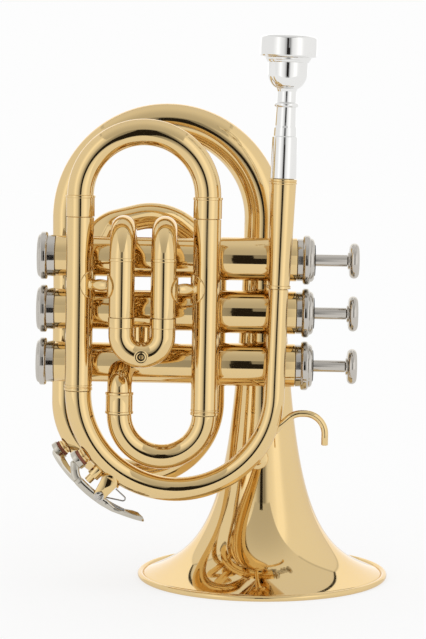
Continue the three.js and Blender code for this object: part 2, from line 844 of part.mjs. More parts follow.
function entryBowGeometry() {
  const corners = [
    at(tuningRightX, frontPlane, entryCentreHeight),
    at(tuningRightX, frontPlane, entryBottomHeight),
    at(entryLeftX, frontPlane, entryBottomHeight),
    at(entryLeftX, frontPlane, entryCentreHeight),
  ];
  return plainTube(route(corners, [entryBendRadius, entryBendRadius]), entryBow.radius, entryBow.wall);
}

function entryElbowGeometry() {
  const { ferruleRadius, ferruleLength, beadRadius, beadWidth, radius } = entryBow;
  const start = at(entryLeftX, frontPlane, entryCentreHeight + seat);
  const stations = route([start, elbowCorner, onValve(3, entryLeftX)], [entryBow.elbowBendRadius]);
  const outer = (length) => [
    [0, beadRadius],
    [beadWidth, beadRadius],
    [beadWidth, ferruleRadius],
    [ferruleLength - beadWidth, ferruleRadius],
    [ferruleLength - beadWidth, beadRadius],
    [ferruleLength, beadRadius],
    [ferruleLength, radius],
    [length, radius],
  ];
  return geometryOf(solidOf(tube(stations, outer, even(entryBore))).subtract(casingCutter(3)));
}

// Valves

function casingGeometry(number) {
  const { boreRadius, casingRadius, balusterRadius, balusterRound, spigotRadius, spigotLength } = valve;
  const balusterStart = spigotLength + valve.casingLength;
  const balusterEnd = balusterStart + valve.balusterLength;
  const end = balusterEnd + spigotLength;
  const outline = [
    [0, boreRadius],
    [0, spigotRadius],
    [spigotLength, spigotRadius],
    [spigotLength, casingRadius],
    [balusterStart, casingRadius],
    [balusterStart, balusterRadius - balusterRound],
    [balusterStart + balusterRound, balusterRadius],
    [balusterEnd, balusterRadius],
    [balusterEnd, spigotRadius],
    [end, spigotRadius],
    [end, boreRadius],
    [0, boreRadius],
  ];
  const shell = solidOf(turned(outline, onValve(number, casingStartX - spigotLength), xAxis));
  const cutters = ports.filter((port) => port.valve === number).map(portCutter);
  return geometryOf(cut(shell, cutters));
}

function capOutline(cap, holeRadius) {
  const inside = valve.spigotRadius + seat;
  const rimEnd = cap.skirtLength + cap.rimLength;
  const crownEnd = rimEnd + cap.crown;
  const ceiling = crownEnd - cap.floor;
  return [
    [seat, inside],
    [seat, cap.skirtRadius],
    [cap.skirtLength, cap.skirtRadius],
    [cap.skirtLength, cap.rimRadius - cap.rimRound],
    [cap.skirtLength + cap.rimRound, cap.rimRadius],
    [rimEnd - cap.rimRound, cap.rimRadius],
    [rimEnd, cap.rimRadius - cap.rimRound],
    [crownEnd, cap.crownRadius],
    [crownEnd, holeRadius],
    [ceiling, holeRadius],
    [ceiling, inside],
    [seat, inside],
  ];
}

const awayFromButtons = xAxis.clone().negate();
const bottomCapGeometry = (number) =>
  turned(capOutline(bottomCap, bottomCap.ventRadius), onValve(number, casingStartX), awayFromButtons);
const topCapGeometry = (number) =>
  turned(capOutline(topCap, stem.radius + seat), onValve(number, balusterEndX), xAxis);

const pistonStartX = casingStartX + piston.inset;
const pistonTopX = pistonStartX + piston.bodyLength + piston.divider + piston.barrelLength;
const guideX = pistonStartX + piston.bodyLength + piston.divider + seat + guide.thickness / 2;
const windwayShares = [0.16, 0.43, 0.7];
const windwayTurnDegrees = 55;
const windwaySides = 8;

// A piston: a shell open at the foot, windways crossing it, and above the divider a slotted spring barrel.
function pistonGeometry(number) {
  const { radius, wall, bodyLength, divider, barrelLength, windwayRadius, windwayBore, travel } = piston;
  const onPiston = (distance) => onValve(number, pistonStartX + distance);
  const dividerEnd = bodyLength + divider;
  const end = dividerEnd + barrelLength;
  const barrelHollow = bar(onPiston(dividerEnd), onPiston(end - divider), radius - wall, tubeSides);
  const bodyHollow = bar(onPiston(-overrun), onPiston(bodyLength), radius - wall, tubeSides);
  const whole = bar(onPiston(0), onPiston(end), radius);
  const windways = windwayShares.map((share, i) => {
    const angle = THREE.MathUtils.degToRad(windwayTurnDegrees * (i + number));
    const across = at(0, Math.cos(angle), Math.sin(angle)).multiplyScalar(radius + overrun);
    const centre = onPiston(bodyLength * share);
    return [centre.clone().sub(across), centre.clone().add(across)];
  });
  const pipes = windways.map(([from, to]) => bar(from, to, windwayRadius, windwaySides).intersect(whole));
  const bores = windways.map(([from, to]) => bar(from, to, windwayBore, windwaySides));
  const slot = new THREE.BoxGeometry(
    travel + guide.thickness + seat * 2,
    2 * (radius + overrun),
    guide.width + seat * 2,
  ).translate(guideX + travel / 2, 0, valveHeight(number));
  const shell = cut(whole, [barrelHollow, bodyHollow]);
  return geometryOf(cut(join([shell, ...pipes]), [...bores, solidOf(slot)]));
}

function guideGeometry(number) {
  const { thickness, width, discRadius } = guide;
  const key = new THREE.BoxGeometry(thickness, 2 * (valve.boreRadius - 2 * seat), width);
  key.translate(guideX, 0, valveHeight(number));
  const [from, to] = [onValve(number, guideX - thickness / 2), onValve(number, guideX + thickness / 2)];
  return geometryOf(bar(from, to, discRadius).add(solidOf(key)));
}

// A compression spring between the guide and the top of the spring barrel, coiled as one wire.
function springGeometry(number) {
  const start = guideX + guide.thickness / 2 + seat + spring.wireRadius;
  const end = pistonTopX - piston.divider - seat - spring.wireRadius;
  const stepCount = spring.turnCount * spring.stepsPerTurn;
  const points = Array.from({ length: stepCount + 1 }, (_, i) => {
    const angle = (2 * Math.PI * i) / spring.stepsPerTurn;
    const across = at(0, Math.cos(angle), Math.sin(angle)).multiplyScalar(spring.coilRadius);
    return onValve(number, THREE.MathUtils.lerp(start, end, i / stepCount)).add(across);
  });
  const stations = points.map((place, i) => {
    const [before, after] = [points[Math.max(0, i - 1)], points[Math.min(stepCount, i + 1)]];
    return { place, heading: after.clone().sub(before).normalize(), distance: i };
  });
  return rod(withSides(stations), even(spring.wireRadius), spring.wireSides);
}

const capTopX = balusterEndX + topCap.skirtLength + topCap.rimLength + topCap.crown;
const buttonX = capTopX + button.gapToCap;

function stemGeometry(number) {
  const start = pistonTopX + seat;
  const length = buttonX - seat - start;
  const outline = [
    [0, 0],
    [0, stem.radius],
    [length, stem.radius],
    [length, stem.tenonRadius],
    [length + stem.tenonLength, stem.tenonRadius],
    [length + stem.tenonLength, 0],
  ];
  return turned(outline, onValve(number, start), xAxis, tubeSides);
}

function buttonGeometry(number) {
  const { radius, thickness, roundShare, hollow, hubRadius, hubLength } = button;
  const round = thickness * roundShare;
  const socket = stem.tenonRadius + seat;
  const socketDepth = stem.tenonLength;
  const outline = [
    [0, socket],
    [0, hubRadius],
    [hubLength, hubRadius],
    ...quarterRound([hubLength, radius - round], [hubLength + round, radius], true, 2),
    ...quarterRound([thickness - round, radius], [thickness, radius - round], false, 2),
    [thickness - hollow / 2, hubRadius],
    [thickness - hollow / 2, 0],
    [socketDepth, 0],
    [socketDepth, socket],
    [0, socket],
  ];
  return turned(outline, onValve(number, buttonX), xAxis);
}

function knuckleGeometry(upper, x) {
  const stations = route([onValve(upper, x), onValve(upper + 1, x)], []);
  const solid = solidOf(plainTube(stations, knuckle.radius, knuckle.wall));
  return geometryOf(cut(solid, [casingCutter(upper), casingCutter(upper + 1)]));
}

// Valve slides

const slideLegRadius = valveSlide.outerRadius - valveSlide.wall - slideFit;

function slideTubeGeometry(number, corners, bendRadii, ringDistance) {
  const { outerRadius, beadRadius, beadWidth } = valveSlide;
  const outer = (length) =>
    ringDistance
      ? [
          [0, outerRadius],
          [ringDistance, outerRadius],
          [ringDistance, beadRadius],
          [ringDistance + beadWidth, beadRadius],
          [ringDistance + beadWidth, outerRadius],
          [length, outerRadius],
        ]
      : even(outerRadius)(length);
  const solid = solidOf(tube(route(corners, bendRadii), outer, even(slideBore)));
  return geometryOf(solid.subtract(casingCutter(number)));
}

// A slide: a bow over its joint, in the direction that it pulls out, and a leg into each outer tube.
function slideBowGeometry(slide, plane, height, pull) {
  const legLength = slide.tubeLength - slide.legEndGap;
  const place = at(leftLegX(slide), plane, height);
  const across = xAxis.clone().multiplyScalar(slide.spacing);
  const bendRadius = slide.spacing / 2;
  const start = place.clone().addScaledVector(pull, seat - legLength);
  const far = place.clone().addScaledVector(pull, slide.bowLength + bendRadius);
  const corners = [start, far, far.clone().add(across), start.clone().add(across)];
  const outer = slideProfile(slideLegRadius, legLength, valveSlide, valveSlide.outerRadius);
  return tube(route(corners, [bendRadius, bendRadius]), outer, even(slideLegRadius - valveSlide.wall));
}

function firstSlideTube(x) {
  const corners = [
    at(x, firstSlidePlane, firstJointHeight),
    at(x, firstSlidePlane, firstBendTop),
    at(x, 0, firstBendTop),
    onValve(1, x),
  ];
  return slideTubeGeometry(1, corners, [firstBendRadius, firstBendRadius], firstSlide.tubeLength);
}

function secondSlideTube(x) {
  return slideTubeGeometry(2, [onValve(2, x), at(x, secondJointPlane, valveHeight(2))], []);
}

function thirdSlideTube(x) {
  const corners = [
    onValve(3, x),
    at(x, thirdSlide.plane, valveHeight(3)),
    at(x, thirdSlide.plane, thirdJointHeight),
  ];
  return slideTubeGeometry(3, corners, [thirdSlide.cornerRadius]);
}

const firstSlideBow = () =>
  slideBowGeometry(firstSlide, firstSlidePlane, firstJointHeight, zAxis.clone().negate());
const secondSlideBow = () => slideBowGeometry(secondSlide, secondJointPlane, valveHeight(2), yAxis);
const thirdSlideBow = () => slideBowGeometry(thirdSlide, thirdSlide.plane, thirdJointHeight, zAxis);

function firstKnobGeometry() {
  const { radius, thickness, neckRadius, neckLength, dimpleRadius, dimpleDepth } = firstKnob;
  const end = neckLength + thickness;
  const outline = [
    [0, 0],
    [0, neckRadius],
    [neckLength, neckRadius],
    [neckLength, radius],
    [end - thickness / 4, radius],
    [end, radius - thickness / 4],
    [end, dimpleRadius],
    [end - dimpleDepth, 0],
  ];
  const bendRadius = firstSlide.spacing / 2;
  const flatRadius = valveSlide.outerRadius * Math.cos(Math.PI / tubeSides);
  const bottom = firstJointHeight - firstSlide.bowLength - bendRadius;
  const place = at(leftLegX(firstSlide) + bendRadius, firstSlidePlane - flatRadius - seat, bottom);
  return turned(outline, place, yAxis.clone().negate(), tubeSides);
}

// Braces: a rod between two round tubes, with a round flange wrapped on each

// The outline that a disc bent round the tube has when it is seen along the direction it faces.
function wrappedFlange(tubePlace, tubeDirection, tubeRadius, out, flangeRadius) {
  const reach = tubeRadius + seat + brace.padThickness;
  const side = tubeDirection.clone().cross(out);
  const half = tubeDirection.clone().multiplyScalar(flangeRadius + overrun);
  const outline = Array.from({ length: turnedSides }, (_, i) => {
    const angle = (2 * Math.PI * i) / turnedSides;
    const across = reach * Math.sin((flangeRadius * Math.cos(angle)) / reach);
    const along = flangeRadius * Math.sin(angle);
    return tubePlace.clone().addScaledVector(side, across).addScaledVector(tubeDirection, along);
  });
  const raised = outline.map((point) => point.clone().addScaledVector(out, reach + overrun));
  const column = wasm.Manifold.hull([...outline, ...raised].map((point) => point.toArray()));
  return bar(tubePlace.clone().sub(half), tubePlace.clone().add(half), reach).intersect(column);
}

function slideBraceGeometry(mainX, slideX, rise) {
  const height = firstJointHeight + rise;
  const towardsSlide = Math.sign(slideX - mainX);
  const main = at(mainX, frontPlane, height);
  const slide = at(slideX, firstSlidePlane, height);
  const length = main.distanceTo(slide);
  const outline = [
    [0, 0],
    [0, brace.rodEndRadius],
    [tuning.outerRadius, brace.rodEndRadius],
    [length / 2, brace.rodRadius],
    [length - valveSlide.outerRadius, brace.rodEndRadius],
    [length, brace.rodEndRadius],
    [length, 0],
  ];
  const shaft = solidOf(turned(outline, main, slide.clone().sub(main).normalize(), tubeSides));
  const facing = (sign, degrees) => {
    const angle = THREE.MathUtils.degToRad(degrees);
    return at(sign * Math.cos(angle), -Math.sin(angle), 0);
  };
  const mainFacing = facing(towardsSlide, brace.mainFlangeDegrees);
  const slideFacing = facing(-towardsSlide, brace.slideFlangeDegrees);
  const flanges = [
    wrappedFlange(main, zAxis, tuning.outerRadius, mainFacing, brace.mainFlangeRadius),
    wrappedFlange(slide, zAxis, valveSlide.outerRadius, slideFacing, brace.slideFlangeRadius),
  ];
  const half = zAxis.clone().multiplyScalar(brace.mainFlangeRadius + overrun);
  const cutters = [
    bar(main.clone().sub(half), main.clone().add(half), tuning.outerRadius + seat),
    bar(slide.clone().sub(half), slide.clone().add(half), valveSlide.outerRadius + seat),
  ];
  return geometryOf(cut(join([shaft, ...flanges]), cutters));
}

const leftBraceGeometry = () =>
  slideBraceGeometry(leadpipe.leftX, leftLegX(firstSlide), brace.leftRise);
const rightBraceGeometry = () =>
  slideBraceGeometry(tuningRightX, rightLegX(firstSlide), brace.rightRise);

// Finger hook: a bent wire that grows from the outside of the leadpipe bow

function hookGeometry() {
  const fromBow = (reach, drop) => onBow(0).add(at(reach, 0, -drop));
  const corners = [
    fromBow(hook.startReach, hook.startDrop),
    fromBow(hook.crestReach, hook.crestDrop),
    fromBow(hook.endReach, hook.crestDrop),
    fromBow(hook.endReach, hook.endDrop),
  ];
  const wire = rod(route(corners, [hook.crestBendRadius, hook.endBendRadius]), even(hook.wireRadius));
  return geometryOf(solidOf(wire).subtract(leadpipeCutter()));
}

// Bell brace: from the side of the leadpipe bow back to the front of the bell

// The bell's outside, filled and grown by a margin, standing where it stands in the body frame.
function bellSolid(margin) {
  const step = bellJointHeight / (turnedSides + 2);
  const heights = Array.from({ length: turnedSides }, (_, i) => step * (i + 2));
  const outline = heights.map((height) => {
    const slope = (-flareExponentShare * flareRadius(height)) / (height + bell.flareOffset);
    return [height, flareRadius(height) + margin * Math.hypot(1, slope)];
  });
  const ends = [
    [heights[0], 0],
    [heights.at(-1), 0],
  ];
  const geometry = turned([ends[0], ...outline, ends[1]], at(0, bellPlane, 0), zAxis, bell.sides);
  return solidOf(geometry.rotateY(-lean));
}

function bellBraceGeometry() {
  const { bellBraceDegrees, bellBraceRodRadius, bellBraceWaistRadius, bellBraceFlangeRadius } = brace;
  const from = onBow(bellBraceDegrees);
  const to = at(0, bellPlane, from.z - brace.bellBraceDrop);
  const length = from.distanceTo(to);
  const direction = to.clone().sub(from).normalize();
  const outline = [
    [0, 0],
    [0, bellBraceRodRadius],
    [length / 2, bellBraceWaistRadius],
    [length, bellBraceRodRadius],
    [length, 0],
  ];
  const shaft = solidOf(turned(outline, from, direction, tubeSides));
  const tangent = inPlane(bellBraceDegrees).cross(yAxis);
  const bowFlange = wrappedFlange(from, tangent, leadpipe.footRadius, yAxis, bellBraceFlangeRadius);
  const column = bar(from.clone().lerp(to, 0.5), to, bellBraceFlangeRadius);
  const bellFlange = bellSolid(seat + brace.padThickness).intersect(column);
  return geometryOf(cut(join([shaft, bowFlange, bellFlange]), [leadpipeCutter(), bellSolid(seat)]));
}

// Water key: a lever on a saddle, with two cups whose corks close a nipple on either bow

const keyPivot = onBow(waterKey.pivotDegrees, waterKey.pivotRise);
const outward = inPlane(waterKey.outwardDegrees);
const alongKey = (place, distance) => place.clone().addScaledVector(outward, distance);
const keyBar = (place, from, to, radius, sides) =>
  bar(alongKey(place, from), alongKey(place, to), radius, sides);
const corkStart = waterKey.mouthDistance + seat;
const corkEnd = corkStart + waterKey.corkLength;
const cupStart = corkEnd - waterKey.cupDepth;
const cupBack = corkEnd + seat + waterKey.cupFloor;

// Adds a drained nipple to a bow; the core fills the bow's bore and part of its wall.
function withNipple(bow, core, place) {
  const { mouthDistance, nippleRadius, nippleBore } = waterKey;
  const nipple = keyBar(place, 0, mouthDistance, nippleRadius).subtract(solidOf(core));
  const drill = keyBar(place, 0, mouthDistance + overrun, nippleBore, tubeSides);
  return geometryOf(solidOf(bow).add(nipple).subtract(drill));
}

const corkGeometry = (place) => geometryOf(keyBar(place, corkStart, corkEnd, waterKey.corkRadius));

// A bar across the key, through a place and from one plane to another.
const acrossKey = ({ x, z }, from, to, radius) => bar(at(x, from, z), at(x, to, z), radius);

// A flat strip bent round the leadpipe bow's centre, from one angle to another.
function keyStrip(fromDegrees, toDegrees, rise, width, plane) {
  const stepCount = Math.ceil((toDegrees - fromDegrees) / waterKey.stepDegrees);
  const edge = (edgeRise) =>
    Array.from({ length: stepCount + 1 }, (_, i) => {
      const { x, z } = onBow(THREE.MathUtils.lerp(fromDegrees, toDegrees, i / stepCount), edgeRise);
      return new THREE.Vector2(x, z);
    });
  const half = waterKey.leverThickness / 2;
  const shape = new THREE.Shape([...edge(rise + half), ...edge(rise - half).reverse()]);
  const geometry = new THREE.ExtrudeGeometry(shape, { depth: width, bevelEnabled: false });
  return solidOf(geometry.rotateX(Math.PI / 2).translate(0, plane + width / 2, 0));
}

function leverGeometry() {
  const { leverRise, leverPlane, barrelLength, bladeStartDegrees, bladeEndDegrees } = waterKey;
  const stripEnd = bladeStartDegrees + waterKey.bladeOverlapDegrees;
  const bladeRise = leverRise - waterKey.bladeInset;
  const strip = keyStrip(waterKey.forkDegrees, stripEnd, leverRise, waterKey.leverWidth, leverPlane);
  const blade = keyStrip(bladeStartDegrees, bladeEndDegrees, bladeRise, waterKey.bladeWidth, frontPlane);
  const barrelStart = leverPlane - barrelLength / 2;
  const barrelEnd = barrelStart + barrelLength;
  const barrel = acrossKey(keyPivot, barrelStart, barrelEnd, waterKey.barrelRadius);
  const bore = acrossKey(keyPivot, barrelStart - overrun, barrelEnd + overrun, waterKey.pivotRadius + seat);
  const fork = onBow(waterKey.armDegrees, leverRise).setY(leverPlane);
  const ends = [keyPlaces.lead, keyPlaces.bell];
  const armTo = (place) => bar(fork, alongKey(place, cupBack - seat), waterKey.armRadius, tubeSides);
  const arms = ends.map(armTo);
  const cups = ends.map((place) => keyBar(place, cupStart, cupBack, waterKey.cupRadius));
  const recessRadius = waterKey.corkRadius + seat;
  const recesses = ends.map((place) => keyBar(place, cupStart - overrun, corkEnd + seat, recessRadius));
  return geometryOf(cut(join([strip, blade, barrel, ...arms, ...cups]), [...recesses, bore]));
}

const lugPlanes = [-1, 1].map((side) => frontPlane + (side * (waterKey.lugGap + waterKey.lugThickness)) / 2);

function saddleGeometry() {
  const { pivotDegrees, lugThickness, lugTipRadius, lugBaseRadius, stopDegrees } = waterKey;
  const base = onBow(pivotDegrees, waterKey.lugBaseRise);
  const lugs = lugPlanes.map((plane) => {
    const [front, back] = [plane - lugThickness / 2, plane + lugThickness / 2];
    const tip = acrossKey(keyPivot, front, back, lugTipRadius);
    return wasm.Manifold.hull([tip, acrossKey(base, front, back, lugBaseRadius)]);
  });
  const out = inPlane(pivotDegrees);
  const tangent = out.clone().cross(yAxis);
  const foot = wrappedFlange(onBow(pivotDegrees), tangent, leadpipe.endRadius, out, waterKey.footRadius);
  const stopBar = (rise, radius) => bar(onBow(stopDegrees), onBow(stopDegrees, rise), radius, tubeSides);
  const stopBase = stopBar(waterKey.stopBaseRise, waterKey.stopBaseRadius);
  const stop = stopBar(waterKey.stopRise, waterKey.stopRadius);
  const [low, high] = [lugPlanes[0] - lugThickness, lugPlanes[1] + lugThickness];
  const hole = acrossKey(keyPivot, low, high, waterKey.pivotRadius + seat);
  return geometryOf(cut(join([...lugs, foot, stopBase, stop]), [hole, leadpipeCutter()]));
}

function screwGeometry() {
  const { lugThickness, headLength, headRadius, pivotRadius } = waterKey;
  const start = lugPlanes[0] - lugThickness / 2 - seat;
  const end = lugPlanes[1] + lugThickness / 2;
  const head = acrossKey(keyPivot, start - headLength, start, headRadius);
  return geometryOf(head.add(acrossKey(keyPivot, start - headLength / 2, end, pivotRadius)));
}

// The spring is a wire bent to a V between the saddle and the lever's barrel.
function keySpringGeometry() {
  const { pivotDegrees, pivotRise, springWire, springPlane, springBendRadius, springSides } = waterKey;
  const corners = [
    onBow(waterKey.springFootDegrees, waterKey.lugBaseRise + waterKey.springFootGap),
    onBow(waterKey.springApexDegrees, waterKey.springApexRise),
    onBow(pivotDegrees + waterKey.springTipTurnDegrees, pivotRise - seat),
  ].map((place) => place.setY(springPlane));
  return rod(route(corners, [springBendRadius]), even(springWire), springSides);
}

// Assembly

function bodyPieces() {
  const pieces = [
    piece('bell_bow', bellBowGeometry(), 'brass'),
    piece('bell_tail_bow', tailBowGeometry(), 'brass'),
    piece('bell_tail_crook', crookGeometry(), 'brass'),
    piece('leadpipe', leadpipeGeometry(), 'brass'),
    piece('mouthpiece_receiver', receiverGeometry(), 'brass'),
    piece('mouthpiece', mouthpieceGeometry(), 'silver'),
    piece('tuning_outer_left', tuningTubeGeometry(leadpipe.leftX, bowCentreHeight), 'brass'),
    piece('tuning_outer_right', tuningTubeGeometry(tuningRightX, entryCentreHeight), 'brass'),
    piece('tuning_slide', tuningSlideGeometry(), 'brass'),
    piece('entry_bow', entryBowGeometry(), 'brass'),
    piece('entry_elbow', entryElbowGeometry(), 'brass'),
    piece('knuckle_1_2', knuckleGeometry(1, knuckleUpperX), 'brass'),
    piece('knuckle_2_3', knuckleGeometry(2, knuckleLowerX), 'brass'),
    piece('first_slide', firstSlideBow(), 'brass'),
    piece('second_slide', secondSlideBow(), 'brass'),
    piece('third_slide', thirdSlideBow(), 'brass'),
    piece('first_slide_knob', firstKnobGeometry(), 'brass'),
    piece('slide_brace_left', leftBraceGeometry(), 'brass'),
    piece('slide_brace_right', rightBraceGeometry(), 'brass'),
    piece('bell_brace', bellBraceGeometry(), 'brass'),
    piece('finger_hook', hookGeometry(), 'brass'),
    piece('water_key_saddle', saddleGeometry(), 'brass'),
    piece('water_key_screw', screwGeometry(), 'nickel'),
    piece('water_key_lever', leverGeometry(), 'silver'),
    piece('water_key_spring', keySpringGeometry(), 'steel'),
    piece('cork_1', corkGeometry(keyPlaces.bell), 'cork'),
    piece('cork_2', corkGeometry(keyPlaces.lead), 'cork'),
  ];
  const slides = [
    ['first', firstSlideTube, firstSlide],
    ['second', secondSlideTube, secondSlide],
    ['third', thirdSlideTube, thirdSlide],
  ];
  for (const [word, makeTube, slide] of slides) {
    pieces.push(piece(`${word}_slide_outer_left`, makeTube(leftLegX(slide)), 'brass'));
    pieces.push(piece(`${word}_slide_outer_right`, makeTube(rightLegX(slide)), 'brass'));
  }
  return pieces;
}

function valvePieces(number) {
  return [
    piece(`valve_casing_${number}`, casingGeometry(number), 'brass'),
    piece(`bottom_cap_${number}`, bottomCapGeometry(number), 'nickel'),
    piece(`top_cap_${number}`, topCapGeometry(number), 'nickel'),
    piece(`piston_${number}`, pistonGeometry(number), 'nickel'),
    piece(`valve_guide_${number}`, guideGeometry(number), 'brass'),
    piece(`valve_spring_${number}`, springGeometry(number), 'steel'),
    piece(`valve_stem_${number}`, stemGeometry(number), 'nickel'),
    piece(`finger_button_${number}`, buttonGeometry(number), 'nickel'),
  ];
}

const body = new THREE.Group();
body.add(...bodyPieces());
for (let number = 1; number <= valve.count; number++) body.add(...valvePieces(number));
body.rotation.y = lean;

const trumpet = new THREE.Group();
trumpet.add(body, piece('bell', bellGeometry(), 'brass'));

// The part stands with its rim at height 0 and the middle of its outline over the origin.
const outline = new THREE.Box3().setFromObject(trumpet, true);
const middle = outline.getCenter(new THREE.Vector3());
for (const child of trumpet.children) child.position.set(-middle.x, -middle.y, -outline.min.z);

export default trumpet;
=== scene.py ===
import json
import math

import bpy
import numpy as np
from mathutils import Matrix, Vector


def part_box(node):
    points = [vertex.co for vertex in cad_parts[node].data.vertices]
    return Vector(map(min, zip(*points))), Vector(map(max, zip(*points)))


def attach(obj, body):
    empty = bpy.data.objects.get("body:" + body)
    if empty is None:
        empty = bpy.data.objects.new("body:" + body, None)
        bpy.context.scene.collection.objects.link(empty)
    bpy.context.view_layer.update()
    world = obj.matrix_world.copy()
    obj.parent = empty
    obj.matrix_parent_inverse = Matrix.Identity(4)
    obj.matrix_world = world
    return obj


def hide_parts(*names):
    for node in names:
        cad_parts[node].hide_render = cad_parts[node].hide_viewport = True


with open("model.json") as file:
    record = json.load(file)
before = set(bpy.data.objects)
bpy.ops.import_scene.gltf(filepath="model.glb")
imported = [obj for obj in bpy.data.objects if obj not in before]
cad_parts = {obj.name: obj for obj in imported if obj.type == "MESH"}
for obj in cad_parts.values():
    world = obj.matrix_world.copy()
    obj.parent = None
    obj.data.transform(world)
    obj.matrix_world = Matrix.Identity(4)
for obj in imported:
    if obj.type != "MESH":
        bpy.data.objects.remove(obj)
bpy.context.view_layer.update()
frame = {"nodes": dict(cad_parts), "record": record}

tubeSides = 64
turnedSides = 96
bellSides, bellRings = ((192, 110))
bladeSides, bladeRings = ((48, 60))
wireSides = 24
bendStep = math.radians(3)  # a tube's bend has a ring at each step
fullTurn = 2 * math.pi
mm = 0.001
axis = 0.02  # a solid outline starts and ends this far from its axis
skin = 0.02  # what lies on a tube stays this far off it
seat = 0.3  # pieces that meet end to end stand this far apart
slope = 0.1  # the edge of a collar or ring falls over this length

# The instrument's own frame, in millimetres: x along the valves towards the buttons, z along the leadpipe,
# y away from the first slide. It leans a little against the upright bell, whose axis meets the floor at x 0.
lean = math.radians(0.85)
bellPlane = 25.0
frontPlane = -17.5
firstSlidePlane = -30.6
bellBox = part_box("bell")
bellMiddle = [(bellBox[0][i] + bellBox[1][i]) / 2 for i in range(2)]


def upright(points):
    # millimetres to the frame's metres, for what stands as straight as the bell
    return (np.asarray(points, float) - [0, bellPlane, 0]) * mm + [*bellMiddle, 0]


def leaning(points):
    # x becomes x cos + z sin, z becomes z cos - x sin
    x, y, z = np.moveaxis(np.asarray(points, float), -1, 0)
    turned = [x * math.cos(lean) + z * math.sin(lean), y, z * math.cos(lean) - x * math.sin(lean)]
    return upright(np.stack(turned, -1))


def unit(v):
    v = np.asarray(v, float)
    return v / np.linalg.norm(v, axis=-1, keepdims=True)


def polar(centre, degrees, radius, plane):
    angle = math.radians(degrees)
    return np.array([centre[0] + radius * math.cos(angle), plane, centre[1] + radius * math.sin(angle)])


def outward(degrees):
    return polar((0, 0), degrees, 1, 0)


# Lines that tubes follow, as places, headings and sides

def lineOf(places, ways):
    # each side is the last one, made square to the heading again
    distance = np.concatenate([[0], np.cumsum(np.linalg.norm(np.diff(places, axis=0), axis=1))])
    side = np.array([0.0, 1, 0]) if abs(ways[0][1]) < 0.7 else np.array([0.0, 0, 1])
    sides = []
    for way in ways:
        side = unit(side - way * (side @ way))
        sides.append(side)
    line = {"distance": distance, "length": distance[-1]}
    return line | {"place": places, "way": ways, "side": np.array(sides)}


def route(corners, bends=()):
    # corner after corner, each rounded by its bend's radius
    corners = [np.asarray(c, float) for c in corners]
    headings = [unit(b - a) for a, b in zip(corners, corners[1:])]
    places, ways = [corners[0][None]], [headings[0][None]]
    for corner, before, after, bend in zip(corners[1:], headings, headings[1:], bends):
        turn = math.acos(float(np.clip(before @ after, -1, 1)))
        inward = unit(np.cross(np.cross(before, after), before))
        start = corner - before * bend * math.tan(turn / 2)
        angle = np.linspace(0, turn, max(2, math.ceil(turn / bendStep)) + 1)[:, None]
        # place = start + before R sin a + inward R (1 - cos a)
        places.append(start + before * bend * np.sin(angle) + inward * bend * (1 - np.cos(angle)))
        ways.append(before * np.cos(angle) + inward * np.sin(angle))
    places = np.concatenate([*places, corners[-1][None]])
    ways = np.concatenate([*ways, headings[-1][None]])
    keep = np.concatenate([[True], np.linalg.norm(np.diff(places, axis=0), axis=1) > 1e-3])
    return lineOf(places[keep], ways[keep])


def smoothLine(points):
    # a line through points that lie close together
    points = np.asarray(points, float)
    return lineOf(points, unit(np.gradient(points, axis=0)))


def straight(start, way, length=1.0):
    start = np.asarray(start, float)
    return route([start, start + unit(way) * length])


def at(line, distance):
    distance = np.asarray(distance, float)
    found = {}
    for key in ("place", "way", "side"):
        found[key] = np.stack([np.interp(distance, line["distance"], line[key][:, i]) for i in range(3)], -1)
    found["way"], found["side"] = unit(found["way"]), unit(found["side"])
    beyond = distance - np.clip(distance, 0, line["length"])
    found["place"] = found["place"] + found["way"] * beyond[:, None]
    return found


# Outlines: rows of distance along a line and radius

rounding = {
    "points": 4,
    "least": math.radians(12),  # a corner that turns less stays as it is
    "most": 2.4,
    "share": 0.45,  # of the shorter side of a corner, which its curve takes up at most
}


def rounded(outline, edge, loop=True):
    # a corner becomes a quadratic curve between two points, one before it and one after it
    points = np.asarray(outline, float)
    out = []
    for i, here in enumerate(points):
        toLast, toNext = points[i - 1] - here, points[(i + 1) % len(points)] - here
        lastLength, nextLength = np.linalg.norm(toLast), np.linalg.norm(toNext)
        end = not loop and i in (0, len(points) - 1)
        if end or min(lastLength, nextLength) < 1e-6:
            out.append(here)
            continue
        cosine = toLast @ toNext / lastLength / nextLength
        bend = math.pi - math.acos(float(np.clip(cosine, -1, 1)))
        if bend < rounding["least"]:
            out.append(here)
            continue
        room = rounding["share"] * min(lastLength, nextLength)
        reach = min(edge * math.tan(min(bend, rounding["most"]) / 2), room)
        a, b = here + toLast / lastLength * reach, here + toNext / nextLength * reach
        for t in np.linspace(0, 1, rounding["points"]):
            out.append((1 - t) ** 2 * a + 2 * t * (1 - t) * here + t * t * b)
    return np.array(out)


def quarterArc(start, end, count, radiusFirst):
    # a quarter of an ellipse from one row to another: one part goes by 1 - cos a, the other by sin a
    angle = np.linspace(0, math.pi / 2, count)
    slow, fast = 1 - np.cos(angle), np.sin(angle)
    shares = (slow, fast) if radiusFirst else (fast, slow)
    return np.asarray(start, float) + np.subtract(end, start) * np.stack(shares, -1)


def even(line, radius):
    # one radius from end to end
    return [(0, radius), (line["length"], radius)]


def followed(line, outline):
    # adds the line's own stations to an outline's long steps, so that it bends with the line
    rows = [outline[0]]
    for last, here in zip(outline, outline[1:]):
        low, high = sorted((last[0], here[0]))
        between = line["distance"][(line["distance"] > low + 0.05) & (line["distance"] < high - 0.05)]
        if here[0] < last[0]:
            between = between[::-1]
        for d in between:
            rows.append([d, last[1] + (here[1] - last[1]) * (d - last[0]) / (here[0] - last[0])])
        rows.append(here)
    return np.array(rows)


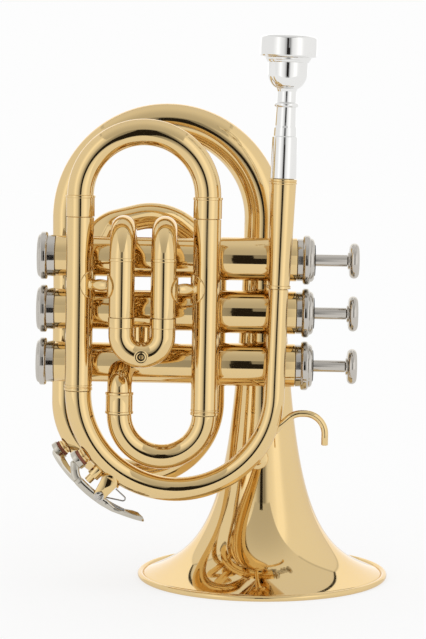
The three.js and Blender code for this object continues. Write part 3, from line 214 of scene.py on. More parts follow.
def rings(line, outline, sides):
    # ring point = place + radius (side cos a + up sin a)
    station = at(line, outline[:, 0])
    up = np.cross(station["way"], station["side"])
    angle = np.linspace(0, fullTurn, sides, endpoint=False) + math.pi / 2
    spoke = station["side"][:, None] * np.cos(angle)[:, None] + up[:, None] * np.sin(angle)[:, None]
    return station["place"][:, None] + spoke * outline[:, 1][:, None, None]


# Grids of points, and the meshes made from them

def loopGrid(line, outline, edge=0.15, sides=turnedSides, stood=leaning):
    # a closed outline carried round a line
    outline = rounded(outline, edge)
    outline = followed(line, np.concatenate([outline, outline[:1]]))[:-1]
    return {"points": stood(rings(line, outline, sides)), "loop": True}


def tubeGrid(line, outer, bore, edge=0.15, stood=leaning):
    return loopGrid(line, [*outer, *reversed(bore)], edge, tubeSides, stood)


def solidGrid(line, outline, edge=0.15, sides=turnedSides):
    # an outline that is open at the axis, where both ends are closed by a fan
    outline = followed(line, rounded(outline, edge, loop=False))
    return {"points": leaning(rings(line, outline, sides)), "loop": False}


def bladeGrid(line, table, power=4.0):
    # a flat bar: each table row holds distance, half width, half thickness, how far its edges bend up
    table = np.asarray(table, float)
    evenSteps = np.linspace(table[0, 0], table[-1, 0], bladeRings)
    steps = np.unique(np.concatenate([evenSteps, table[:, 0]]))
    wide, thick, dish = (np.interp(steps, table[:, 0], table[:, i])[:, None] for i in (1, 2, 3))
    angle = np.linspace(0, fullTurn, bladeSides, endpoint=False)
    c, s = np.cos(angle), np.sin(angle)
    # across = width c swell, up = thickness s swell + dish (across / width)^2, over a superellipse's swell
    swell = (np.abs(c) ** power + np.abs(s) ** power) ** (-1 / power)
    across = wide * c * swell
    lift = thick * s * swell + dish * (across / wide) ** 2
    station = at(line, steps)
    up = np.cross(station["way"], station["side"])
    points = station["place"][:, None] + station["side"][:, None] * across[..., None]
    return {"points": leaning(points + up[:, None] * lift[..., None]), "loop": False}


def wrappedDisc(place, way, out, tubeRadius, radius, thickness, edge=0.25):
    # a round plate bent round a tube: arc length across = rho cos a, distance along = rho sin a
    way, out = unit(way), unit(out)
    side = np.cross(out, way)
    rim = rounded([(thickness, axis), (thickness, radius), (0, radius), (0, axis)], edge, loop=False)
    steps = np.linspace(axis, radius - edge, 8)
    outline = np.array([*((thickness, r) for r in steps), *rim[1:-1], *((0, r) for r in steps[::-1])])
    angle = np.linspace(0, fullTurn, turnedSides, endpoint=False)
    rho = outline[:, 1][:, None]
    bend = rho * np.cos(angle) / tubeRadius
    height = (tubeRadius + outline[:, 0])[:, None]
    points = (
        np.asarray(place, float)
        + side * (height * np.sin(bend))[..., None]
        + out * (height * np.cos(bend))[..., None]
        + way * (rho * np.sin(angle))[..., None]
    )
    return {"points": leaning(points), "loop": False}


def plateGrid(outline, near, far, edge=0.25):
    # an outline of (x, z) drawn in towards its middle at both faces, from one y to another
    third = edge * 0.3
    y = np.array([near, near + third, near + edge, far - edge, far - third, far])
    inset = np.array([edge, third, 0, 0, third, edge])
    middle = outline.mean(axis=0)
    size = np.abs(outline - middle).max()
    shrunk = middle + (outline - middle) * (1 - inset / size)[:, None, None]
    planes = np.broadcast_to(y[:, None], shrunk.shape[:2])
    return {"points": leaning(np.stack([shrunk[..., 0], planes, shrunk[..., 1]], -1)), "loop": False}


def meshOf(name, grids):
    vertices, faces, base = [], [], 0
    for grid in grids:
        points = grid["points"]
        rows, sides = points.shape[:2]
        index = np.arange(rows * sides).reshape(rows, sides) + base
        here = index if grid["loop"] else index[:-1]
        nextRow = np.roll(index, -1, axis=0) if grid["loop"] else index[1:]
        quads = np.stack([here, np.roll(here, -1, 1), np.roll(nextRow, -1, 1), nextRow], -1).reshape(-1, 4)
        vertices.append(points.reshape(-1, 3))
        faces.extend(quads.tolist())
        base += rows * sides
        if not grid["loop"]:
            for row, poleFirst in ((0, True), (rows - 1, False)):
                vertices.append(points[row].mean(axis=0)[None])
                ring = index[row]
                fan = np.stack([np.full(sides, base), np.roll(ring, -1), ring], -1)
                faces.extend((fan if poleFirst else fan[:, ::-1]).tolist())
                base += 1
    mesh = bpy.data.meshes.new(name)
    mesh.from_pydata(np.concatenate(vertices).tolist(), [], faces)
    mesh.polygons.foreach_set("use_smooth", np.ones(len(mesh.polygons), bool))
    mesh.set_sharp_from_angle(angle=math.radians(50))
    mesh.update()
    return mesh


def piece(name, grids, nodes=(), material="lacquered_brass", body="instrument"):
    obj = bpy.data.objects.new(name, meshOf(name, grids))
    bpy.context.scene.collection.objects.link(obj)
    obj.data.materials.append(materials[material])
    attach(obj, body)
    if nodes:
        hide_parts(*nodes)


# Shader nodes

def fill(tree, node, inputs):
    # an output is linked, and anything else is set as it is
    for name, value in inputs.items():
        if isinstance(value, bpy.types.NodeSocket):
            tree.links.new(value, node.inputs[name])
        else:
            node.inputs[name].default_value = value


def added(tree, kind, inputs, **settings):
    node = tree.nodes.new("ShaderNode" + kind)
    for name, value in settings.items():
        setattr(node, name, value)
    fill(tree, node, inputs)
    return node


def maths(tree, operation, *values):
    return added(tree, "Math", dict(enumerate(values)), operation=operation).outputs[0]


def mixed(tree, factor, *colours):
    a, b = ((*colour, 1) if isinstance(colour, tuple) else colour for colour in colours)
    return added(tree, "Mix", {"Factor": factor, "A": a, "B": b}, data_type="RGBA").outputs["Result"]


def ranged(tree, value, start, end, low=0.0, high=1.0, curve="SMOOTHSTEP"):
    inputs = {"Value": value, "From Min": start, "From Max": end, "To Min": low, "To Max": high}
    return added(tree, "MapRange", inputs, interpolation_type=curve).outputs["Result"]


def noise(tree, scale, detail):
    where = added(tree, "TexCoord", {}).outputs["Object"]
    return added(tree, "TexNoise", {"Vector": where, "Scale": scale, "Detail": detail}).outputs["Fac"]


def bump(tree, height, strength, distance):
    inputs = {"Height": height, "Strength": strength, "Distance": distance}
    return added(tree, "Bump", inputs).outputs["Normal"]


# Materials

brassLook = {
    "dark": (0.735, 0.530, 0.235),
    "light": (0.775, 0.565, 0.260),
    "edge": (0.80, 0.66, 0.44),  # what the metal turns to where it is seen at a slant
    "cloudScale": 35,
    "grainScale": 900,
    "roughness": (0.03, 0.06),
    "coat": 0.9,  # the lacquer
    "coatRoughness": 0.02,
    "wave": 0.05,
    "waveDepth": 0.0002,
}
silverLook = brassLook | {
    "dark": (0.80, 0.795, 0.775),
    "light": (0.84, 0.835, 0.82),
    "edge": (0.95, 0.95, 0.95),
    "cloudScale": 60,
    "grainScale": 1200,
    "coat": 0.0,
    "wave": 0.03,
    "waveDepth": 0.0001,
}
nickelLook = silverLook | {
    "dark": (0.52, 0.49, 0.445),
    "light": (0.57, 0.54, 0.495),
    "edge": (0.88, 0.86, 0.82),
    "cloudScale": 90,
    "grainScale": 1500,
    "roughness": (0.07, 0.13),
}
# the water key's plate is duller than the mouthpiece's
keyLook = nickelLook | {"dark": (0.50, 0.47, 0.40), "light": (0.62, 0.58, 0.51), "roughness": (0.05, 0.12)}
steelLook = silverLook | {
    "dark": (0.36, 0.36, 0.36),
    "light": (0.44, 0.44, 0.43),
    "edge": (0.9, 0.9, 0.9),
    "cloudScale": 300,
    "grainScale": 2500,
    "roughness": (0.15, 0.25),
    "wave": 0.02,
}
corkLook = {
    "dark": (0.16, 0.045, 0.025),
    "light": (0.34, 0.13, 0.08),
    "grainScale": 1400,
    "roughness": (0.7, 0.9),
    "shine": 0.25,
    "bump": 0.5,
    "bumpDepth": 0.0003,
}
feltLook = corkLook | {
    "dark": (0.008, 0.008, 0.009),
    "light": (0.03, 0.03, 0.03),
    "grainScale": 4000,
    "roughness": (0.9, 1.0),
    "shine": 0.1,
    "bump": 0.6,
}
noiseReach = (0.3, 0.7)  # a noise seldom leaves these


def metal(name, look):
    material = bpy.data.materials.new(name)
    material.use_nodes = True
    tree = material.node_tree
    cloud, grain = noise(tree, look["cloudScale"], 3), noise(tree, look["grainScale"], 2)
    inputs = {
        "Metallic": 1,
        "Coat Weight": look["coat"],
        "Coat Roughness": look["coatRoughness"],
        "Coat IOR": 1.5,
        "Specular Tint": (*look["edge"], 1),
        "Base Color": mixed(tree, cloud, look["dark"], look["light"]),
        "Roughness": ranged(tree, grain, *noiseReach, *look["roughness"], "LINEAR"),
        "Normal": bump(tree, cloud, look["wave"], look["waveDepth"]),
    }
    fill(tree, tree.nodes["Principled BSDF"], inputs)
    return material


def soft(name, look):
    material = bpy.data.materials.new(name)
    material.use_nodes = True
    tree = material.node_tree
    grain = noise(tree, look["grainScale"], 5)
    inputs = {
        "Specular IOR Level": look["shine"],
        "Base Color": mixed(tree, grain, look["dark"], look["light"]),
        "Roughness": ranged(tree, grain, *noiseReach, *look["roughness"], "LINEAR"),
        "Normal": bump(tree, grain, look["bump"], look["bumpDepth"]),
    }
    fill(tree, tree.nodes["Principled BSDF"], inputs)
    return material


materials = {
    "lacquered_brass": metal("lacquered_brass", brassLook),
    "silver_plate": metal("silver_plate", silverLook),
    "nickel_plate": metal("nickel_plate", nickelLook),
    "key_plate": metal("key_plate", keyLook),
    "spring_steel": metal("spring_steel", steelLook),
    "cork": soft("cork", corkLook),
    "felt": soft("felt", feltLook),
}
for node in frame["nodes"].values():
    node.data.materials.clear()
slotOf = {row["node"]: row["material_slot"] for row in frame["record"]["subparts"]}
for name, node in frame["nodes"].items():
    node.data.materials.append(materials[slotOf[name]])
print("scene: materials")

# Bell

bell = {
    "rimRadius": 61.2,
    "tailRadius": 9.9,
    "rimHeight": 1.2,
    "top": 155.0,
    "flareOffset": 11.4,  # the smaller, the more the flare opens near the rim
    "wall": 0.6,
    "bead": 1.4,  # radius of the rolled edge
    "groove": 2.25,  # height at which the flare meets the groove above that edge
    "grooveRows": ((-0.25, -0.32), (-0.7, -0.12)),  # from there and from the rolled edge: height, out
    "curl": (176, -62),  # degrees of the rolled edge's round
    "foot": 0.9,  # width of the flat that stands on the floor
}
bellPower = math.log(bell["rimRadius"] / bell["tailRadius"]) / math.log(
    (bell["top"] + bell["flareOffset"]) / (bell["rimHeight"] + bell["flareOffset"])
)


def bellRadius(z):
    # radius = tail ((top + offset) / (z + offset)) ^ power
    return bell["tailRadius"] * ((bell["top"] + bell["flareOffset"]) / (z + bell["flareOffset"])) ** bellPower


def bellPiece():
    rim, top, offset, thick = bell["rimRadius"], bell["top"], bell["flareOffset"], bell["wall"]
    bead, depth = bell["bead"], bell["groove"]
    middle = rim - bead
    z = np.geomspace(depth + offset, top - seat + offset, bellRings) - offset
    radius = bellRadius(z)
    # the inside lies one wall off the outside, square to it
    tilt = -bellPower * radius / (z + offset)
    steep = np.hypot(1, tilt)
    outer = np.stack([z, radius], -1)
    inner = np.stack([z + thick * tilt / steep, radius - thick / steep], -1)
    inner[0] = [bead * 0.7, rim - bead * 2.25]
    inner[-1] = [z[-1], radius[-1] - thick]
    groove = [(depth + rise, middle - bead + out) for rise, out in bell["grooveRows"]]
    angle = np.radians(np.linspace(*bell["curl"], 20))
    curl = np.stack([bead * (1 + np.sin(angle)), middle + bead * np.cos(angle)], -1)
    foot = [(0, middle + bell["foot"] / 2), (0, middle - bell["foot"] / 2), (bead * 0.4, middle - bead * 0.8)]
    # up the inside and down the outside, so that it faces out
    outline = np.concatenate([outer[::-1], groove, curl, foot, inner])[::-1]
    line = straight([0, bellPlane, 0], [0, 0, 1], top)
    piece("bell_flare", [{"points": upright(rings(line, outline, bellSides)), "loop": True}], ["bell"])


bellPiece()

# Bell bow, tail bow and the crook above the valves

wall = 0.6
bellBow = {"leftX": -97.9, "top": 230.2, "tailRadius": 6.4, "collarRadius": 10.6, "collarLength": 7}
tailBow = {
    "rightX": -26.5,
    "centre": 85.5,
    "radius": 6.4,
    "joint": 132.4,  # height at which the bell bow and the crook stand on it
    "collarRadius": 6.9,
    "collarLength": 6,
}
nipple = {
    "outward": 217,  # degrees that both nipples and the key's cups look along
    "onTail": 212.3,  # degrees round the tail bow
    "onLead": 215.5,  # degrees round the leadpipe's bow
    "radius": 3.6,
    "bore": 1.8,
    "foot": 5.2,  # these four are distances from the tube's middle line
    "footEnd": 6.0,
    "grooveEnd": 6.5,
    "mouth": 7.6,
    "footOut": 0.4,
    "grooveIn": 0.6,
}
tailBend = (tailBow["rightX"] - bellBow["leftX"]) / 2
tailCentre = (bellBow["leftX"] + tailBend, tailBow["centre"])
keyWay = outward(nipple["outward"])
tailNipple = polar(tailCentre, nipple["onTail"], tailBend, bellPlane)


def bellBowPiece():
    bellX = -bell["top"] * math.tan(lean)
    leftX, tail = bellBow["leftX"], bellBow["tailRadius"]
    top = bellBow["top"] - (bell["tailRadius"] + tail) / 2
    corners = [
        (bellX, bellPlane, bell["top"]),
        (bellX, bellPlane, top),
        (leftX, bellPlane, top),
        (leftX, bellPlane, tailBow["joint"] + seat),
    ]
    line = route(corners, [(bellX - leftX) / 2] * 2)
    length = line["length"]
    outer = [
        (0, bellBow["collarRadius"]),
        (bellBow["collarLength"], bellBow["collarRadius"]),
        (bellBow["collarLength"] + slope, bell["tailRadius"]),
        (length - tailBow["collarLength"] - slope, tail),
        (length - tailBow["collarLength"], tailBow["collarRadius"]),
        (length, tailBow["collarRadius"]),
    ]
    bore = [(0, bell["tailRadius"] - wall), (length, tail - wall)]
    piece("bell_bow_tube", [tubeGrid(line, outer, bore)], ["bell_bow"])


def nippleGrid(place):
    # a foot and a collar with a groove between them
    n = nipple
    foot, low = n["radius"] + n["footOut"], n["radius"] - n["grooveIn"]
    outline = [
        (n["foot"], n["bore"]),
        (n["foot"], foot),
        (n["footEnd"], foot),
        (n["footEnd"] + slope, low),
        (n["grooveEnd"], low),
        (n["grooveEnd"] + slope, n["radius"]),
        (n["mouth"], n["radius"]),
        (n["mouth"], n["bore"]),
    ]
    return loopGrid(straight(place, keyWay), outline)


def tailBowPiece():
    left, right, joint = bellBow["leftX"], tailBow["rightX"], tailBow["joint"]
    low = tailBow["centre"] - tailBend
    corners = [(x, bellPlane, z) for x, z in ((left, joint), (left, low), (right, low), (right, joint))]
    line = route(corners, [tailBend, tailBend])
    grid = tubeGrid(line, even(line, tailBow["radius"]), even(line, tailBow["radius"] - wall))
    piece("bell_tail_tube", [grid, nippleGrid(tailNipple)], ["bell_tail_bow"])


crook = {
    "rise": 159.6,  # height of its first corner
    "topCorner": (-51.1, 22, 178.5),
    "dropCorner": (-79, 15, 171.5),
    "portX": -86,  # where it enters the first casing
    "bends": (27.4, 27.4, 12),
    "radius": 6.2,
}
valve = {
    "heights": {1: 157.3, 2: 132.1, 3: 106.9},
    "boreRadius": 8.6,
    "casingRadius": 9.5,
    "startX": -101.4,  # the bottom caps' end
    "balusterX": -24,
    "balusterRadius": 10.25,
    # where the casing swells to its baluster: distance along, share of the swelling
    "balusterRows": ((-0.2, 0), (0, 0.3333), (0.5, 0.7333), (1.6, 1)),
    "endX": 12.8,  # the top caps' end
    "spigotRadius": 9.15,
    "spigotLength": 3.4,
}


def onValve(number, x):
    return np.array([x, 0.0, valve["heights"][number]])


def casingEnd(line, number, outer, bore):
    # a tube whose end is wrapped on a casing: each side slides back to where y^2 + z^2 = reach^2
    points = tubeGrid(line, outer, bore, stood=np.asarray)["points"]
    last = at(line, [line["length"]])["way"][0]
    step = last / np.linalg.norm(last[1:])
    reach = valve["casingRadius"] + skin
    x, y, z = np.moveaxis(points - onValve(number, 0), -1, 0)
    b = -(y * step[1] + z * step[2])
    c = y * y + z * z - reach * reach
    shift = np.where(c < 0, np.sqrt(np.maximum(b * b - c, 0)) - b, 0)
    return {"points": leaning(points - step * shift[..., None]), "loop": True}


def crookPiece():
    corners = [
        (tailBow["rightX"], bellPlane, tailBow["joint"] + seat),
        (tailBow["rightX"], bellPlane, crook["rise"]),
        crook["topCorner"],
        crook["dropCorner"],
        onValve(1, crook["portX"]),
    ]
    line = route(corners, crook["bends"])
    outer = [
        (0, tailBow["collarRadius"]),
        (tailBow["collarLength"], tailBow["collarRadius"]),
        (tailBow["collarLength"] + slope, tailBow["radius"]),
        (line["length"], crook["radius"]),
    ]
    bore = [(0, tailBow["radius"] - wall), (line["length"], crook["radius"] - wall)]
    piece("bell_tail_crook_tube", [casingEnd(line, 1, outer, bore)], ["bell_tail_crook"])


bellBowPiece()
tailBowPiece()
crookPiece()
print("scene: bell and its tubing")

# Leadpipe with its bow

lead = {
    "leftX": -89.1,
    "bend": 46.0,
    "centre": 95.2,
    "lean": 1.2,  # degrees to the right of the slides
    "straight": 50.6,  # length between the bow and the receiver
    "topRadius": 4.6,
    "footRadius": 4.95,
    "endRadius": 6.2,
}
leadCentre = (lead["leftX"] + lead["bend"], lead["centre"])
leadAngle = math.radians(lead["lean"])
leadWay = np.array([math.sin(leadAngle), 0, math.cos(leadAngle)])
leadFoot = polar(leadCentre, -lead["lean"], lead["bend"], frontPlane)
leadNipple = polar(leadCentre, nipple["onLead"], lead["bend"], frontPlane)


def onLead(distance):
    return leadFoot + leadWay * distance


def leadpipePiece():
    low = lead["centre"] - lead["bend"]
    corners = [
        onLead(lead["straight"] - seat),
        onLead(-lead["bend"] * math.tan((math.pi / 2 - leadAngle) / 2)),
        (lead["leftX"], frontPlane, low),
        (lead["leftX"], frontPlane, lead["centre"]),
    ]
    line = route(corners, [lead["bend"], lead["bend"]])
    distances = (0, lead["straight"] - seat, line["length"])
    outer = list(zip(distances, (lead["topRadius"], lead["footRadius"], lead["endRadius"])))
    bore = [(d, r - wall) for d, r in outer]
    piece("leadpipe_tube", [tubeGrid(line, outer, bore), nippleGrid(leadNipple)], ["leadpipe"])


# Receiver and mouthpiece

receiver = {
    "length": 51.1,
    "lowRadius": 5.1,
    "topRadius": 6.2,
    "lowBore": 4.0,
    "mouth": 5.35,
    "socket": 24,
    "socketRadius": 4.9,
    "ringRadius": 6.5,
    "ringWidth": 2.2,
    "ringGroove": ((0.62, 0), (0.52, 0.3), (0.42, 0)),  # share of the ring's width from its top, depth
    "ringEdge": 0.1,
    "lowRingRadius": 5.55,
    "lowRingWidth": 1.4,
}


def receiverPiece():
    r = receiver
    length, ring = r["length"], r["ringWidth"]
    outline = [
        (0, r["lowBore"]),
        (0, r["lowRingRadius"]),
        (r["lowRingWidth"], r["lowRingRadius"]),
        (r["lowRingWidth"] + slope, r["lowRadius"]),
        (length - ring - slope, r["topRadius"]),
        (length - ring, r["ringRadius"]),
        *((length - ring * share, r["ringRadius"] - depth) for share, depth in r["ringGroove"]),
        (length, r["ringRadius"] - r["ringEdge"]),
        (length, r["mouth"]),
        (length - r["socket"], r["socketRadius"]),
        (length - r["socket"], r["lowBore"]),
    ]
    grid = loopGrid(straight(onLead(lead["straight"]), leadWay, length), outline, edge=0.2)
    piece("receiver_tube", [grid], ["mouthpiece_receiver"])


mouthpiece = {
    "rimRadius": 13.3,
    "rimHeight": 9.6,
    "lip": (1.6, 2.1),  # height and width of the round on the rim's outer edge
    "crest": 10.9,
    "bite": 1.7,
    "cupMouth": 8.4,
    "cupStart": 2.0,
    "cupDepth": 11.5,
    "bodyRadius": 9.3,
    "bodyLength": 8.6,
    # small steps under the rim: height from its foot, how far out from the body
    "steps": ((-2.7, 0), (-2.4, 0.5), (-1.68, 0.75), (-1.44, 1.15), (-0.6, 1.35), (-0.3, 1.9)),
    "rimFoot": ((0, 0.5), (0.5, 0.1)),  # height from its foot, how far in from the rim
    "bowlLength": 6.1,
    "bowlFoot": 0.5,  # how far the bowl starts out from the neck, and ends in from the body
    "bowlHead": 0.15,
    "roundness": 0.62,  # the bowl under the cup: 0 is a cone, 1 a quarter round
    "neckRadius": 4.4,
    "neckLength": 6.4,
    "neckFoot": ((0.2, 0.1), (1.2, 0)),  # height, how far out from the neck
    "neckHead": ((-1.4, 0), (-0.3, 0.35)),
    "beadRadius": 5.65,
    "beadWidth": 2.2,
    "beadFoot": 0.2,
    "stemRadius": 4.8,
    "stemLength": 8.6,
    "stepRadius": 5.3,
    "stepLength": 4.9,
    "stepTaper": (1.0, 0.15),
    "shankRadius": 5.85,
    "shankFoot": 6.05,
    "shankLength": 19.5,
    "shankEdge": (0.3, 0.25),
    "tenonTop": 4.95,
    "tenonEnd": 4.6,
    "tenonLength": 22,
    "throat": 1.85,
    "throatLength": 3.7,
    "endBore": 3.9,
}


def mouthpiecePiece():
    m = mouthpiece
    base = receiver["length"] + seat
    shankTop = base + m["shankLength"]
    stepTop = shankTop + m["stepLength"]
    stemTop = stepTop + m["stemLength"]
    beadTop = stemTop + m["beadWidth"]
    neckTop = beadTop + m["neckLength"]
    bowlTop = neckTop + m["bowlLength"]
    rimBase = bowlTop + m["bodyLength"]
    rimTop = rimBase + m["rimHeight"]
    end = base - m["tenonLength"]
    cupBottom = rimTop - m["cupDepth"]
    rim, body, neck = m["rimRadius"], m["bodyRadius"], m["neckRadius"]
    lipHeight, lipWidth = m["lip"]
    lipRadius = rim - m["rimFoot"][-1][1]
    bowlEnds = (neckTop, neck + m["bowlFoot"]), (bowlTop, body - m["bowlHead"])
    cone, quarter = np.linspace(*bowlEnds, 12), quarterArc(*bowlEnds, 12, True)
    around = np.linspace(0, math.pi, 12)
    beadBase = m["stemRadius"] - m["beadFoot"]
    bead = zip(
        stemTop + m["beadWidth"] * (1 - np.cos(around)) / 2,
        beadBase + (m["beadRadius"] - beadBase) * np.sin(around),
    )
    outline = [
        (end, m["endBore"]),
        (end, m["tenonEnd"]),
        (base, m["tenonTop"]),
        (base, m["shankFoot"]),
        (shankTop - m["shankEdge"][0], m["shankRadius"]),
        (shankTop, m["shankRadius"] - m["shankEdge"][1]),
        (shankTop + slope, m["stepRadius"]),
        (stepTop - m["stepTaper"][0], m["stepRadius"] - m["stepTaper"][1]),
        (stepTop, m["stemRadius"]),
        *bead,
        *((beadTop + rise, neck + out) for rise, out in m["neckFoot"]),
        *((neckTop + rise, neck + out) for rise, out in m["neckHead"]),
        *(m["roundness"] * quarter + (1 - m["roundness"]) * cone),
        *((rimBase + rise, body + out) for rise, out in m["steps"]),
        *((rimBase + rise, rim - inward) for rise, inward in m["rimFoot"]),
        (rimBase + m["rimHeight"] * 0.4, rim),
        *quarterArc((rimTop - lipHeight, lipRadius), (rimTop, lipRadius - lipWidth), 12, False),
        *quarterArc((rimTop, m["crest"]), (rimTop - m["bite"], m["cupMouth"]), 12, True),
        *quarterArc((rimTop - m["cupStart"], m["cupMouth"]), (cupBottom, m["throat"]), 12, False),
        (cupBottom - m["throatLength"], m["throat"]),
    ]
    grid = loopGrid(straight(onLead(lead["straight"]), leadWay, rimTop), outline, edge=0.12)
    piece("mouthpiece_turned", [grid], ["mouthpiece"], "silver_plate", "mouthpiece")


leadpipePiece()
receiverPiece()
mouthpiecePiece()
print("scene: leadpipe and mouthpiece")

# Main tuning slide

tuning = {
    "rightX": -29.8,
    "outerRadius": 6.4,
    "wall": 0.55,
    "joint": 176.6,  # height at which the slide's ferrules stand on the outer tubes
    "ferruleRadius": 6.65,
    "ferruleLength": 10,
    "beadRadius": 6.95,
    "beadWidth": 1.2,
    "bowRadius": 6.2,
    "leg": 46,  # length of the legs inside the outer tubes
    # rings at the foot of each outer tube: distance up, how far out
    "footRows": ((0, 0.25), (1.1, 0.25), (1.25, 0), (1.75, 0), (1.9, 0.2), (2.5, 0.2), (2.6, 0)),
}
legWall = 0.5
legGap = 0.2  # between a slide's inner leg and its outer tube


def tuningTube(side, x, low):
    line = route([(x, frontPlane, low + seat), (x, frontPlane, tuning["joint"])])
    radius = tuning["outerRadius"]
    outer = [*((d, radius + out) for d, out in tuning["footRows"]), (line["length"], radius)]
    grid = tubeGrid(line, outer, even(line, radius - tuning["wall"]), edge=0.12)
    piece(f"tuning_tube_{side}", [grid], [f"tuning_outer_{side}"])


def slideOutline(legRadius, leg, look, bowRadius, length):
    # leg, ferrule with its bead, bow, and the same again from the other end
    ferruleEnd = leg + look["ferruleLength"]
    beadStart = ferruleEnd - look["beadWidth"]
    half = [
        (0, legRadius),
        (leg, legRadius),
        (leg, look["ferruleRadius"]),
        (beadStart - slope, look["ferruleRadius"]),
        (beadStart, look["beadRadius"]),
        (ferruleEnd - 1.5 * slope, look["beadRadius"]),
        (ferruleEnd, bowRadius),
    ]
    return half + [(length - d, r) for d, r in reversed(half)]


def bowPiece(name, corners, leg, legRadius, look, bowRadius):
    # a slide's bow with its ferrules and inner legs
    bend = float(np.linalg.norm(np.subtract(corners[1], corners[2]))) / 2
    line = route(corners, [bend, bend])
    outer = slideOutline(legRadius, leg, look, bowRadius, line["length"])
    grid = tubeGrid(line, outer, even(line, legRadius - legWall), edge=0.12)
    piece(f"{name}_bow", [grid], [name], body=name)


def tuningSlide():
    left, right, leg = lead["leftX"], tuning["rightX"], tuning["leg"]
    joint = tuning["joint"] + seat
    top = joint + tuning["ferruleLength"] + (right - left) / 2
    ends = ((left, joint - leg), (left, top), (right, top), (right, joint - leg))
    legRadius = tuning["outerRadius"] - tuning["wall"] - legGap
    corners = [(x, frontPlane, z) for x, z in ends]
    bowPiece("tuning_slide", corners, leg, legRadius, tuning, tuning["bowRadius"])


# Entry to the valves

entry = {
    "leftX": -69.7,
    "centre": 84.5,
    "radius": 5.8,
    "wall": 0.55,
    "ferruleRadius": 6.35,
    "ferruleLength": 10,
    "beadRadius": 6.65,
    "beadWidth": 1.1,
    "elbowBend": 6,
    "elbowRise": 14,
}


def entryBow():
    left, right, centre = entry["leftX"], tuning["rightX"], entry["centre"]
    bend = (right - left) / 2
    low = centre - bend
    corners = [(x, frontPlane, z) for x, z in ((right, centre), (right, low), (left, low), (left, centre))]
    line = route(corners, [bend, bend])
    grid = tubeGrid(line, even(line, entry["radius"]), even(line, entry["radius"] - entry["wall"]))
    piece("entry_bow_tube", [grid], ["entry_bow"])


def entryElbow():
    x, centre = entry["leftX"], entry["centre"]
    corners = [(x, frontPlane, centre + seat), (x, frontPlane, centre + entry["elbowRise"]), onValve(3, x)]
    line = route(corners, [entry["elbowBend"]])
    bead, full, radius = entry["beadWidth"], entry["ferruleLength"], entry["radius"]
    outer = [
        (0, entry["beadRadius"]),
        (bead, entry["beadRadius"]),
        (bead + slope, entry["ferruleRadius"]),
        (full - bead - slope, entry["ferruleRadius"]),
        (full - bead, entry["beadRadius"]),
        (full, entry["beadRadius"]),
        (full + slope, radius),
        (line["length"], radius),
    ]
    grid = casingEnd(line, 3, outer, even(line, radius - entry["wall"]))
    piece("entry_elbow_tube", [grid], ["entry_elbow"])


tuningTube("left", lead["leftX"], lead["centre"])
tuningTube("right", tuning["rightX"], entry["centre"])
tuningSlide()
entryBow()
entryElbow()
print("scene: main tuning slide")

# Valves


def casing(number):
    v = valve
    start = v["startX"] - v["spigotLength"]
    baluster, end = v["balusterX"] - start, v["endX"] - start
    swelling = v["balusterRadius"] - v["casingRadius"]
    outline = [
        (0, v["boreRadius"]),
        (0, v["spigotRadius"]),
        (v["spigotLength"], v["spigotRadius"]),
        (v["spigotLength"], v["casingRadius"]),
        *((baluster + d, v["casingRadius"] + swelling * share) for d, share in v["balusterRows"]),
        (end, v["balusterRadius"]),
        (end, v["spigotRadius"]),
        (end + v["spigotLength"], v["spigotRadius"]),
        (end + v["spigotLength"], v["boreRadius"]),
    ]
    line = straight(onValve(number, start), [1, 0, 0], end + v["spigotLength"])
    piece(f"casing_{number}", [loopGrid(line, outline, edge=0.25)], [f"valve_casing_{number}"])


bottomCap = {
    "skirt": 9.8,
    "skirtLength": 4,
    "rim": 11.3,
    "rimLength": 3.2,
    "round": 0.9,
    "crown": 1.4,
    "crownRadius": 8.4,
    "floor": 1.2,
    "hole": 1.5,
}
topCap = {
    "skirt": 10,
    "skirtLength": 2.9,
    "rim": 11.7,
    "rimLength": 3.5,
    "round": 1.2,
    "crown": 1.9,
    "crownRadius": 8.6,
    "floor": 1.3,
    "hole": 3.1,
}
capStep = 0.15  # between a cap's rim and its crown, and between its skirt and its rim
capTop = valve["endX"] + topCap["skirtLength"] + topCap["rimLength"] + topCap["crown"]


def capPiece(place, number, cap, x, way):
    inside = valve["spigotRadius"] + seat
    low, high = cap["skirtLength"], cap["skirtLength"] + cap["rimLength"]
    inner = cap["rim"] - cap["round"]
    crownEnd = high + cap["crown"]
    outline = [
        (seat, inside),
        (seat, cap["skirt"]),
        (low - capStep, cap["skirt"]),
        *quarterArc((low, inner), (low + cap["round"], cap["rim"]), 7, True),
        *quarterArc((high - cap["round"], cap["rim"]), (high, inner), 7, False),
        *quarterArc((high, inner - capStep), (crownEnd, cap["crownRadius"]), 7, False),
        (crownEnd, cap["hole"]),
        (crownEnd - cap["floor"], cap["hole"]),
        (crownEnd - cap["floor"], inside),
    ]
    grid = loopGrid(straight(onValve(number, x), [way, 0, 0], crownEnd), outline, edge=0.12)
    piece(f"{place}_cap_turned_{number}", [grid], [f"{place}_cap_{number}"], "nickel_plate")


felt = {"radius": 7.4, "hole": 3.2, "thickness": 0.45}


def feltPiece(number):
    near, far = skin, felt["thickness"]
    outline = [(near, felt["hole"]), (near, felt["radius"]), (far, felt["radius"]), (far, felt["hole"])]
    ring = loopGrid(straight(onValve(number, capTop), [1, 0, 0]), outline, edge=0.2)
    piece(f"cap_felt_{number}", [ring], material="felt")


stem = {"foot": -4.7, "radius": 2.8, "tenon": 1.9, "tenonLength": 4}  # foot: the piston's top
button = {
    "radius": 8.4,
    "thickness": 5.2,
    "gap": 16,  # from the top cap, at rest
    "hollow": 1.1,
    "hub": 4,
    "hubLength": 0.8,
    "flat": 0.9,  # the edge's round, as a share of half the thickness
}
buttonX = capTop + button["gap"]


